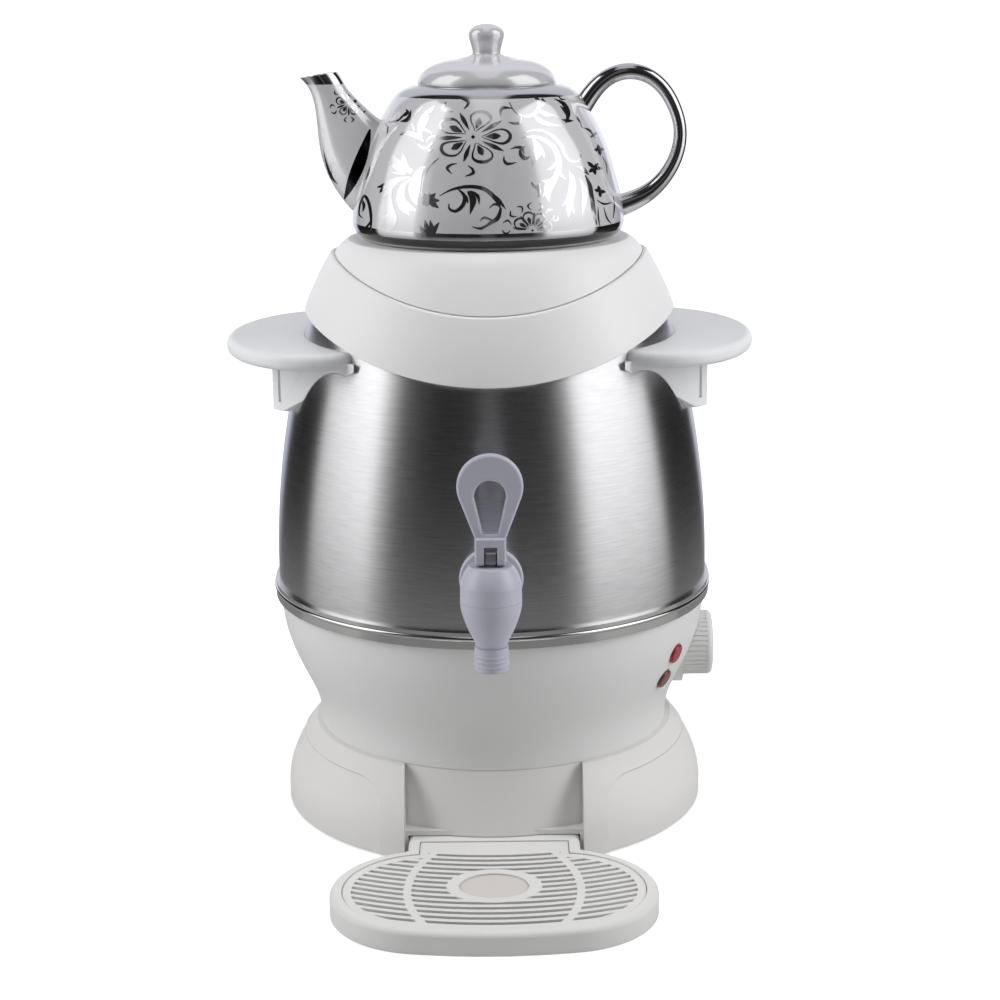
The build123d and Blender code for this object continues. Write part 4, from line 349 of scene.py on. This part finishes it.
def porcelain(name, glaze, bands=(), shadow=(0.0, 0.0)):
    """Lustrous glaze on porcelain, silvered between the heights in bands (metres); the silver is
    painted near black between the heights in shadow, a painted shadow where it turns under."""
    material, t, place = start(name)
    silver = (0.70, 0.70, 0.72)
    lustre = 0.20
    mist = noise(t, place, 25.0, 4.0)
    base = t.ramp(mist, [(0.3, shade(glaze, 0.985)), (0.7, shade(glaze, 1.01))])
    height = t.add("ShaderNodeSeparateXYZ", {0: place}).outputs[2]
    ragged = t.math("MULTIPLY", t.math("SUBTRACT", noise(t, place, 160.0), 0.5), 0.0004)
    height = t.math("ADD", height, ragged)
    cover = None

    def between(low, high):
        above = t.math("GREATER_THAN", height, low)
        return t.math("MULTIPLY", above, t.math("LESS_THAN", height, high))

    for low, high in bands:
        inside = between(low, high)
        cover = inside if cover is None else t.math("MAXIMUM", cover, inside)
    gloss = t.span(mist, 0.3, 0.7, 0.04, 0.07)
    skin = t.add("ShaderNodeBsdfPrincipled", {"Roughness": gloss, "Metallic": lustre})
    skin.inputs["IOR"].default_value = 1.8
    if cover is None:
        t.links.new(base, skin.inputs["Base Color"])
    else:
        # painted shadow: the silver goes near black between the heights in shadow
        silver_with_painted_shadow = t.mix(between(*shadow), silver, grey(0.035))
        t.links.new(t.mix(cover, base, silver_with_painted_shadow), skin.inputs["Base Color"])
        t.links.new(t.math("MAXIMUM", cover, lustre), skin.inputs["Metallic"])
    skin.inputs["Coat Weight"].default_value = 0.8
    skin.inputs["Coat Roughness"].default_value = 0.05
    bump = t.add(
        "ShaderNodeBump",
        {"Height": noise(t, place, 35.0, 2.0), "Distance": 0.0001, "Strength": 0.25},
    )
    finish(t, skin, bump.outputs[0])
    return material


def lens(name, colour):
    """Tinted clear plastic."""
    material, t, place = start(name)
    tone = t.ramp(noise(t, place, 120.0), [(0.3, shade(colour, 0.9)), (0.7, colour)])
    gloss = t.span(noise(t, place, 300.0), 0.3, 0.7, 0.10, 0.18)
    skin = t.add("ShaderNodeBsdfPrincipled", {"Base Color": tone, "Roughness": gloss})
    skin.inputs["Transmission Weight"].default_value = 0.35
    skin.inputs["IOR"].default_value = 1.49
    skin.inputs["Coat Weight"].default_value = 0.5
    finish(t, skin)
    return material


material_of = {
    "stand_plastic": plastic("stand_plastic", (0.74, 0.73, 0.715), 0.50),
    "cover_plastic": plastic("cover_plastic", (0.42, 0.42, 0.41), 0.55),
    "housing_plastic": plastic("housing_plastic", (0.74, 0.735, 0.73), 0.42),
    "collar_plastic": plastic("collar_plastic", (0.80, 0.795, 0.80), 0.40),
    "handle_plastic": plastic("handle_plastic", (0.78, 0.785, 0.80), 0.44),
    # painted shade: the tap's bluish white plastic is coloured darker, standing in for the shade it
    # sits in at the front
    "tap_plastic": plastic("tap_plastic", (0.49, 0.49, 0.57), 0.30, grain=500.0, depth=0.00001),
    "tray_plastic": plastic("tray_plastic", (0.73, 0.725, 0.71), 0.50),
    "disc_plastic": plastic("disc_plastic", (0.65, 0.61, 0.585), 0.38),
    "red_lens": lens("red_lens", (0.45, 0.02, 0.03)),
    "dark_lens": lens("dark_lens", (0.22, 0.05, 0.05)),
    "bulb_glass": lens("bulb_glass", (0.75, 0.42, 0.30)),
    "dark_plastic": plastic("dark_plastic", (0.03, 0.03, 0.032), 0.45),
    "block_plastic": plastic("block_plastic", (0.62, 0.60, 0.54), 0.45),
    "lead_plastic": plastic("lead_plastic", (0.55, 0.16, 0.12), 0.45),
    "tank_steel": steel_tank("tank_steel"),
    "trim_chrome": metal("trim_chrome", (0.82, 0.81, 0.80), 0.10),
    "plain_steel": metal("plain_steel", (0.62, 0.62, 0.63), 0.30),
    "brass": metal("brass", (0.72, 0.55, 0.26), 0.32),
    "heater_aluminium": metal("heater_aluminium", (0.60, 0.60, 0.61), 0.5),
    "plate_aluminium": metal("plate_aluminium", (0.66, 0.66, 0.67), 0.42),
    "seal_rubber": plastic("seal_rubber", (0.60, 0.60, 0.59), 0.6, swing=0.04),
    "foot_rubber": plastic("foot_rubber", (0.05, 0.05, 0.05), 0.7, swing=0.06),
    "porcelain": porcelain("porcelain", (0.68, 0.68, 0.705)),
    "silvered_porcelain": metal("silvered_porcelain", (0.74, 0.74, 0.76), 0.06, scale=25.0),
}
# painted reflection: near-black silver for the stroke at the spout's root that stands in for the
# dark room it mirrors
painted_dark_reflection = metal("painted_dark_reflection", (0.05, 0.05, 0.06), 0.10, scale=25.0)
# the second pair of foot heights is where the foot's silver is painted near black as shadow
FOOT_BAND, FOOT_PAINTED_SHADOW = (0.2960, 0.3060), (0.2986, 0.3025)
SHOULDER_BAND, SPOUT_TIP_BAND = (0.3677, 0.3800), (0.3735, 0.3900)
own_finish = {
    "teapot_body": porcelain(
        "teapot_body_glaze", (0.69, 0.69, 0.715), (FOOT_BAND, SHOULDER_BAND), FOOT_PAINTED_SHADOW
    ),
    # painted light: the spout's glaze is a lighter copy of the body's porcelain, standing in for
    # the light the spout catches
    "teapot_spout": porcelain("teapot_spout_painted_lighter_glaze", (0.76, 0.76, 0.785), (SPOUT_TIP_BAND,)),
}

slot_of = {part["node"]: part["material_slot"] for part in frame["record"]["subparts"]}
for name, obj in node_of.items():
    finish_of = own_finish.get(name) or material_of[slot_of[name]]
    if not obj.data.materials:
        obj.data.materials.append(finish_of)
    for index in range(len(obj.data.materials)):
        obj.data.materials[index] = finish_of

# ---------------------------------------------------------------- ornament on the teapot

# Silvery scrolls, leaves and flowers. Each stroke is a row of (x, y, half width), where a half
# width of 1 to 3 is a pointed end. They are in fifths of a pixel of the camera's picture, counted
# right and down from the picture's point FRAME_X, FRAME_Y. Rays from the camera put them on the
# glaze.
FRAME_X, FRAME_Y, FRAME_STEP = 340.0, 80.0, 5.0
SEE = SENSOR / LENS / PICTURE   # slope of a ray for one pixel
MIDDLE = PICTURE / 2

# A stroke's ribbon, in millimetres off the glaze, and its places across as shares of half a width
PROUD, SUNK = 0.05, -0.08
TOP_PLACES, UNDER_PLACES = (-1.0, -0.5, 0.0, 0.5, 1.0), (1.0, 0.0, -1.0)
LEAST_HALF_WIDTH = 0.9
# Strokes that cross lie at different heights
LAYERS, LAYER_STEP = 7, 0.004
CREASE = math.radians(35)


def surface_of(name):
    """Search tree of a node's surface."""
    mesh = node_of[name].data
    points = [v.co.copy() for v in mesh.vertices]
    return BVHTree.FromPolygons(points, [list(polygon.vertices) for polygon in mesh.polygons])


def on_glaze(tree, x, y):
    """The point of the surface seen at a stroke's place and the normal there, or None past it."""
    px = FRAME_X + x / FRAME_STEP
    py = FRAME_Y + y / FRAME_STEP
    way = Vector(((px - MIDDLE) * SEE, -(py - MIDDLE) * SEE, -1.0))
    way = camera.matrix_world.to_3x3() @ way
    spot, normal, _, _ = tree.ray_cast(camera.matrix_world.translation, way.normalized())
    if spot is None:
        return None
    if normal.dot(way) > 0:
        normal = -normal
    return spot, normal


def smooth_line(points, steps):
    """Catmull-Rom line through points of three numbers each."""
    ends = [points[0]] + list(points) + [points[-1]]
    line = []
    for k in range(1, len(ends) - 2):
        a, b, c, d = (Vector(q) for q in ends[k - 1:k + 3])
        for step in range(steps):
            f = step / steps
            line.append(
                0.5 * (2 * b + (c - a) * f + (2 * a - 5 * b + 4 * c - d) * f**2
                       + (3 * b - a - 3 * c + d) * f**3)
            )
    line.append(Vector(points[-1]))
    return line


def lay_stroke(tree, stroke, lift, points, faces):
    """Adds one closed, thin ribbon to points and faces, unless it runs past the surface's edge."""
    section = [(place, PROUD + lift) for place in TOP_PLACES]
    section += [(place, SUNK) for place in UNDER_PLACES]
    line = smooth_line(stroke, 6 if len(stroke) > 3 else 7)
    rings = []
    for k, here in enumerate(line):
        ahead = line[min(k + 1, len(line) - 1)] - line[max(k - 1, 0)]
        side = Vector((-ahead.y, ahead.x))
        side.normalize()
        half = max(here.z, LEAST_HALF_WIDTH)
        ring = []
        for across, rise in section:
            found = on_glaze(tree, here.x + side.x * half * across, here.y + side.y * half * across)
            if found is None:
                return
            spot, normal = found
            ring.append(spot + normal * rise * MM)
        rings.append(ring)
    base = len(points)
    count = len(section)
    for ring in rings:
        points += ring
    for k in range(len(rings) - 1):
        for j in range(count):
            a = base + k * count + j
            b = base + k * count + (j + 1) % count
            faces.append((a, b, b + count, a + count))
    faces.append(tuple(base + j for j in reversed(range(count))))
    last = base + (len(rings) - 1) * count
    faces.append(tuple(last + j for j in range(count)))


def polar(cx, cy, reach, angle, squash):
    """A place at an angle in degrees round a centre, on a circle squashed from above."""
    a = math.radians(angle)
    return cx + reach * math.cos(a), cy - reach * math.sin(a) * squash


def flower(cx, cy, reach, angles, squash, thick=1.0, gap=36.0):
    """Open petals with a drop in each, spikes between them and pairs of crescents beyond."""
    strokes = [[(cx - 9 * thick, cy, 2), (cx, cy, 10 * thick), (cx + 9 * thick, cy, 2)]]
    petal = (
        (0.24, -5, 1.5), (0.44, -17, 3.0), (0.66, -22, 4.5), (0.84, -20, 6.5), (0.96, -11, 8.5),
        (1.00, 0, 8.0), (0.95, 10, 6.0), (0.82, 18, 4.5), (0.62, 20, 3.5), (0.42, 14, 2.5),
        (0.24, 3, 1.5),
    )
    for angle in angles:
        strokes.append([
            (*polar(cx, cy, far * reach, angle + turn, squash), max(1.2, heavy * thick))
            for far, turn, heavy in petal
        ])
        strokes.append([
            (*polar(cx, cy, 0.34 * reach, angle, squash), 2.0),
            (*polar(cx, cy, 0.58 * reach, angle, squash), 16.0 * thick),
            (*polar(cx, cy, 0.74 * reach, angle, squash), 3.0),
        ])
        spike = angle + gap
        strokes.append([
            (*polar(cx, cy, 0.30 * reach, spike, squash), 1.5),
            (*polar(cx, cy, 0.68 * reach, spike, squash), 11.0 * thick),
            (*polar(cx, cy, 0.98 * reach, spike, squash), 1.5),
        ])
        for side in (-1, 1):
            strokes.append([
                (*polar(cx, cy, 1.10 * reach, spike + side * 8, squash), 1.5),
                (*polar(cx, cy, 1.22 * reach, spike + side * 14, squash), 6.0 * thick),
                (*polar(cx, cy, 1.38 * reach, spike + side * 15, squash), 8.0 * thick),
                (*polar(cx, cy, 1.52 * reach, spike + side * 7, squash), 1.5),
            ])
    return strokes


def star_leaf(cx, cy, tips, fat):
    """Small pointed leaf with its lobes spread from one place."""
    return [
        [(cx, cy, fat * 0.5), ((cx + x) / 2, (cy + y) / 2, fat), (x, y, 1.5)] for x, y in tips
    ]


scroll_under_flower = [
    [(497, 580, 1.5), (560, 548, 6), (640, 533, 9), (720, 545, 10), (775, 590, 11), (803, 642, 4)],
    [(765, 572, 5), (798, 606, 9), (828, 646, 1.5)],
    [(590, 545, 3), (622, 580, 9), (615, 625, 10), (580, 655, 8), (548, 645, 6), (545, 618, 2)],
    [(640, 556, 7), (665, 600, 17), (650, 672, 1.5)],
    [(652, 556, 5), (688, 580, 9), (696, 622, 1.5)],
    [(805, 638, 5), (790, 688, 11), (750, 716, 9), (705, 750, 1.5)],
    [(762, 702, 5), (722, 688, 6), (700, 706, 1.5)],
    [(742, 722, 6), (700, 742, 6), (660, 733, 1.5)],
    [(745, 642, 1.5), (770, 622, 6), (800, 628, 5)],
    [(610, 560, 3), (632, 590, 8), (640, 618, 1.5)],
]
# left of the scroll
tulip_and_stem = [
    [(425, 772, 8), (410, 748, 11), (396, 724, 1.5)],
    [(437, 772, 9), (432, 732, 12), (424, 700, 1.5)],
    [(455, 772, 9), (457, 736, 12), (450, 700, 1.5)],
    [(468, 768, 8), (478, 738, 11), (497, 712, 1.5)],
    [(400, 775, 4), (440, 785, 10), (490, 770, 4)],
    [(496, 390, 1.5), (452, 430, 4), (418, 490, 5), (408, 560, 3)],
]
# its top lobes, the broad right one, and those that hang
left_leaf = [
    [(362, 462, 12), (312, 431, 20), (278, 400, 13), (266, 369, 1.5)],
    [(350, 456, 11), (325, 425, 15), (319, 394, 11), (312, 362, 1.5)],
    [(325, 462, 10), (287, 441, 14), (259, 419, 8), (242, 406, 1.5)],
    [(331, 469, 6), (287, 466, 7), (253, 457, 1.5)],
    [(434, 428, 1.5), (400, 456, 16), (379, 506, 27), (371, 556, 27), (376, 594, 18),
     (391, 628, 2)],
    [(359, 488, 4), (319, 525, 12), (303, 581, 21), (316, 631, 22), (347, 676, 2)],
    [(312, 600, 12), (347, 637, 14), (386, 655, 2)],
    [(350, 484, 2), (287, 500, 13), (237, 522, 15), (186, 537, 2)],
    [(287, 506, 8), (247, 544, 15), (219, 592, 2)], [(231, 531, 8), (209, 550, 8), (199, 564, 1.5)],
    [(266, 531, 2), (250, 581, 9), (253, 637, 15), (259, 687, 26), (250, 728, 23), (228, 749, 3)],
    [(244, 675, 9), (212, 691, 10), (187, 694, 1.5)],
    [(244, 712, 9), (216, 728, 8), (199, 731, 1.5)],
]
left_upper_leaves = [
    [(419, 309, 2), (400, 269, 12), (407, 228, 21), (426, 184, 20), (434, 151, 2)],
    [(419, 306, 2), (375, 276, 14), (334, 266, 12), (299, 274, 1.5)],
    [(375, 256, 3), (364, 232, 8), (356, 209, 1.5)],
    [(434, 311, 2), (445, 291, 5), (469, 281, 5), (501, 283, 1.5)],
    [(437, 344, 2), (450, 354, 8), (466, 347, 2)],
    [(300, 208, 1.5), (340, 196, 11), (356, 150, 1.5)],
    [(236, 212, 1.5), (288, 202, 6), (332, 160, 3)],
    [(372, 178, 3), (398, 148, 6), (424, 122, 1.5)],
    [(440, 162, 9), (458, 146, 10), (474, 128, 1.5)],
    [(318, 180, 5), (338, 162, 9), (330, 146, 1.5)],
    [(180, 388, 1.5), (214, 330, 5), (228, 282, 1.5)],
    [(232, 280, 1.5), (240, 240, 4), (226, 214, 1.5)],
]
left_edge_scroll = [
    [(152, 758, 3), (156, 690, 7), (146, 620, 8), (124, 580, 7), (102, 618, 5), (96, 670, 4),
     (114, 690, 2)],
    [(110, 596, 3), (120, 628, 8), (114, 660, 1.5)],
    [(156, 700, 2), (138, 730, 6), (120, 740, 1.5)],
    [(128, 500, 1.5), (142, 466, 5), (150, 430, 1.5)],
]
# its curl, the two long sweeps, and the lobes that hang
right_leaf = [
    [(926, 333, 2), (905, 346, 6), (903, 372, 9), (925, 392, 10), (950, 384, 2)],
    [(962, 400, 2), (964, 416, 5), (962, 430, 1.5)],
    [(922, 263, 1.5), (969, 250, 5), (1019, 256, 7), (1069, 287, 9), (1106, 331, 9), (1125, 375, 9),
     (1150, 403, 7), (1187, 406, 5), (1203, 384, 4), (1190, 362, 2)],
    [(906, 291, 1.5), (950, 284, 6), (1000, 291, 9), (1050, 319, 12), (1081, 362, 14),
     (1094, 412, 15),
     (1097, 462, 11), (1131, 500, 1.5)],
    [(962, 294, 3), (985, 331, 18), (989, 366, 20), (975, 408, 2)],
    [(1000, 337, 9), (1016, 369, 8), (1020, 394, 1.5)],
    [(1084, 406, 9), (1062, 437, 8), (1034, 450, 1.5)],
    [(1091, 437, 11), (1075, 487, 15), (1045, 531, 23), (1038, 569, 16), (1047, 609, 2)],
    [(1056, 506, 10), (1028, 508, 8), (1005, 501, 1.5)],
    [(1034, 544, 9), (1022, 569, 7), (1014, 584, 1.5)],
    [(1144, 456, 2), (1159, 494, 15), (1160, 544, 19), (1151, 588, 20), (1145, 631, 17),
     (1141, 687, 2)],
    [(1144, 588, 10), (1125, 616, 8), (1111, 630, 1.5)],
    [(1156, 619, 10), (1164, 650, 7), (1169, 672, 1.5)],
    [(1197, 491, 2), (1216, 531, 13), (1224, 575, 15), (1218, 625, 12), (1212, 678, 2)],
    [(1225, 475, 2), (1248, 525, 10), (1257, 575, 11), (1266, 637, 11), (1274, 687, 8),
     (1284, 725, 2)],
    [(1181, 431, 2), (1212, 444, 11), (1232, 462, 7), (1244, 476, 1.5)],
    [(1025, 666, 1.5), (1039, 651, 4), (1050, 656, 1.5)],
    [(1069, 675, 1.5), (1066, 694, 4), (1053, 706, 1.5)],
    [(955, 509, 1.5), (975, 534, 9), (1002, 545, 5)],
    [(994, 552, 8), (997, 572, 8), (987, 587, 1.5)],
]
right_upper_leaves = [
    [(956, 72, 3), (994, 108, 10), (984, 158, 11), (930, 182, 7), (876, 160, 3), (846, 112, 1.5)],
    [(1000, 134, 3), (1018, 114, 10), (1008, 90, 1.5)],
    [(969, 176, 5), (1000, 205, 12), (1056, 224, 8), (1119, 228, 2)],
    [(994, 150, 8), (1025, 170, 12), (1062, 176, 6), (1091, 189, 1.5)],
    [(1072, 94, 1.5), (1118, 120, 10), (1140, 168, 12), (1130, 216, 3)],
    [(1108, 198, 1.5), (1138, 204, 9), (1166, 204, 1.5)],
    [(1100, 130, 1.5), (1120, 150, 7), (1132, 178, 2)],
    [(1176, 176, 1.5), (1196, 204, 6), (1210, 238, 1.5)],
    [(1090, 80, 1.5), (1106, 96, 4), (1128, 100, 1.5)],
]
right_column = [
    [(1212, 238, 1.5), (1250, 254, 6), (1276, 292, 1.5)],
    [(1252, 288, 1.5), (1272, 272, 7), (1292, 262, 1.5)],
    [(1284, 600, 1.5), (1320, 620, 5), (1358, 612, 1.5)],
    [(1290, 636, 1.5), (1292, 690, 4), (1300, 734, 1.5)],
    [(1318, 636, 1.5), (1334, 690, 4), (1356, 718, 1.5)],
    [(1366, 580, 1.5), (1372, 630, 4), (1366, 690, 1.5)],
    [(1310, 380, 1.5), (1330, 420, 3), (1336, 470, 1.5)],
]
big_flower = flower(665, 285, 187, (3, 75, 147, 219, 291), 0.70)
low_flower = flower(962, 752, 100, (18, 62, 106, 150), 0.92, 0.62, 22.0)
left_star = [(402, 560), (446, 562), (478, 566), (498, 602), (494, 640), (430, 634), (404, 622)]
column_stars = star_leaf(1295, 348, [(1268, 350), (1288, 322), (1320, 346), (1302, 378)], 9)
column_stars += star_leaf(
    1270, 440, [(1236, 408), (1244, 462), (1276, 476), (1312, 442), (1292, 416)], 10
)
column_stars += star_leaf(1298, 556, [(1272, 548), (1290, 528), (1328, 560), (1302, 586)], 9)
small_star = star_leaf(985, 548, [(998, 516), (1006, 556)], 8)

body_strokes = scroll_under_flower + tulip_and_stem + left_leaf + left_upper_leaves
body_strokes += left_edge_scroll + right_leaf + right_upper_leaves + right_column
body_strokes += big_flower + low_flower + star_leaf(442, 604, left_star, 13)
body_strokes += column_stars + small_star

spout_strokes = [
    # scroll down the spout's outer edge
    [(-87, 283, 1.5), (-76, 360, 6), (-60, 433, 8), (-38, 492, 7), (-8, 520, 1.5)],
    [(-24, 404, 1.5), (-46, 420, 5), (-44, 452, 5), (-26, 462, 1.5)],
    [(-92, 240, 1.5), (-84, 268, 6), (-74, 292, 1.5)],
]
spout_strokes += flower(42, 118, 62, (20, 92, 164, 236, 308), 1.0, 0.5)
# painted reflection: a near-black silver stroke down the spout's root, where the glaze mirrors the
# dark room in front
root_painted_reflection = [
    [(150, 246, 4), (131, 317, 20), (98, 415, 30), (58, 512, 24), (22, 596, 4)],
]


def lay_ornament(name, source, strokes, finish_of, other_side):
    """One object of all the strokes on a node, and their copy on its other side."""
    points, faces = [], []
    tree = surface_of(source)
    for number, stroke in enumerate(strokes):
        lay_stroke(tree, stroke, LAYER_STEP * (number % LAYERS), points, faces)
    count = len(points)
    points += [other_side @ point for point in points]
    turned = [tuple(count + i for i in face) for face in faces]
    if other_side.determinant() < 0:
        turned = [face[::-1] for face in turned]
    ornament = new_mesh(name, points, faces + turned)
    ornament.data.set_sharp_from_angle(angle=CREASE)
    ornament.data.materials.append(finish_of)
    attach(ornament, "teapot")


silver = material_of["silvered_porcelain"]
half_turn = Matrix.Rotation(math.pi, 4, "Z")
mirrored = Matrix.Scale(-1.0, 4, (0.0, 1.0, 0.0))
lay_ornament("teapot_ornament", "teapot_body", body_strokes, silver, half_turn)
lay_ornament("spout_ornament", "teapot_spout", spout_strokes, silver, mirrored)
# the painted dark reflection down the spout's root, and its mirrored copy
lay_ornament("spout_root_painted_reflection", "teapot_spout", root_painted_reflection, painted_dark_reflection, mirrored)

# ---------------------------------------------------------------- teapot lid's knob

# The knob's foot on the dome, its neck, its widest ring and its top, in metres in the frame
KNOB_FOOT_Z, KNOB_TOP_Z = 0.3868, 0.4020
KNOB_NECK_R, KNOB_NECK_Z = 0.0070, 0.3879
KNOB_WIDE_R, KNOB_WIDE_Z = 0.0089, 0.3970
FOOT_RINGS, SIDE_RINGS, CROWN_RINGS = 4, 12, 12
SAME_POINT, ON_CUT = 1e-7, 1e-6


def knob_profile(foot_r):
    """Radius and height up the knob: hollow foot, swelling side, rounded crown."""
    rows = []
    for step in range(1, FOOT_RINGS + 1):
        bend = math.radians(90 * step / FOOT_RINGS)
        rows.append((
            foot_r - (foot_r - KNOB_NECK_R) * math.sin(bend),
            KNOB_NECK_Z - (KNOB_NECK_Z - KNOB_FOOT_Z) * math.cos(bend),
        ))
    for step in range(1, SIDE_RINGS + 1):
        rise = step / SIDE_RINGS
        swell = rise * rise * (3 - 2 * rise)
        rows.append((
            KNOB_NECK_R + (KNOB_WIDE_R - KNOB_NECK_R) * swell,
            KNOB_NECK_Z + (KNOB_WIDE_Z - KNOB_NECK_Z) * rise,
        ))
    for step in range(1, CROWN_RINGS):
        bend = math.radians(90 * step / CROWN_RINGS)
        rows.append((
            KNOB_WIDE_R * math.cos(bend),
            KNOB_WIDE_Z + (KNOB_TOP_Z - KNOB_WIDE_Z) * math.sin(bend),
        ))
    return rows


def rounded_knob():
    """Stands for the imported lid: that lid up to the knob's foot, and a knob on the cut loop."""
    shape = bmesh.new()
    shape.from_mesh(node_of["teapot_lid"].data)
    bmesh.ops.remove_doubles(shape, verts=shape.verts, dist=SAME_POINT)
    everything = shape.verts[:] + shape.edges[:] + shape.faces[:]
    bmesh.ops.bisect_plane(
        shape, geom=everything, plane_co=(0, 0, KNOB_FOOT_Z), plane_no=(0, 0, 1), clear_outer=True
    )
    loop = [v for v in shape.verts if v.is_boundary and abs(v.co.z - KNOB_FOOT_Z) < ON_CUT]
    loop.sort(key=lambda v: math.atan2(v.co.y, v.co.x))
    turns = [math.atan2(v.co.y, v.co.x) for v in loop]
    foot_r = sum(math.hypot(v.co.x, v.co.y) for v in loop) / len(loop)
    below = loop
    for radius, height in knob_profile(foot_r):
        ring = [
            shape.verts.new((radius * math.cos(a), radius * math.sin(a), height)) for a in turns
        ]
        for k in range(len(ring)):
            n = (k + 1) % len(ring)
            shape.faces.new((below[k], below[n], ring[n], ring[k]))
        below = ring
    crown = shape.verts.new((0, 0, KNOB_TOP_Z))
    for k in range(len(below)):
        shape.faces.new((below[k], below[(k + 1) % len(below)], crown))
    mesh = bpy.data.meshes.new("teapot_lid_glazed")
    shape.to_mesh(mesh)
    shape.free()
    mesh.polygons.foreach_set("use_smooth", [True] * len(mesh.polygons))
    mesh.set_sharp_from_angle(angle=CREASE)
    lid = bpy.data.objects.new("teapot_lid_glazed", mesh)
    scene.collection.objects.link(lid)
    mesh.materials.clear()
    mesh.materials.append(material_of["porcelain"])
    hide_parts("teapot_lid")
    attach(lid, "teapot_lid")


rounded_knob()
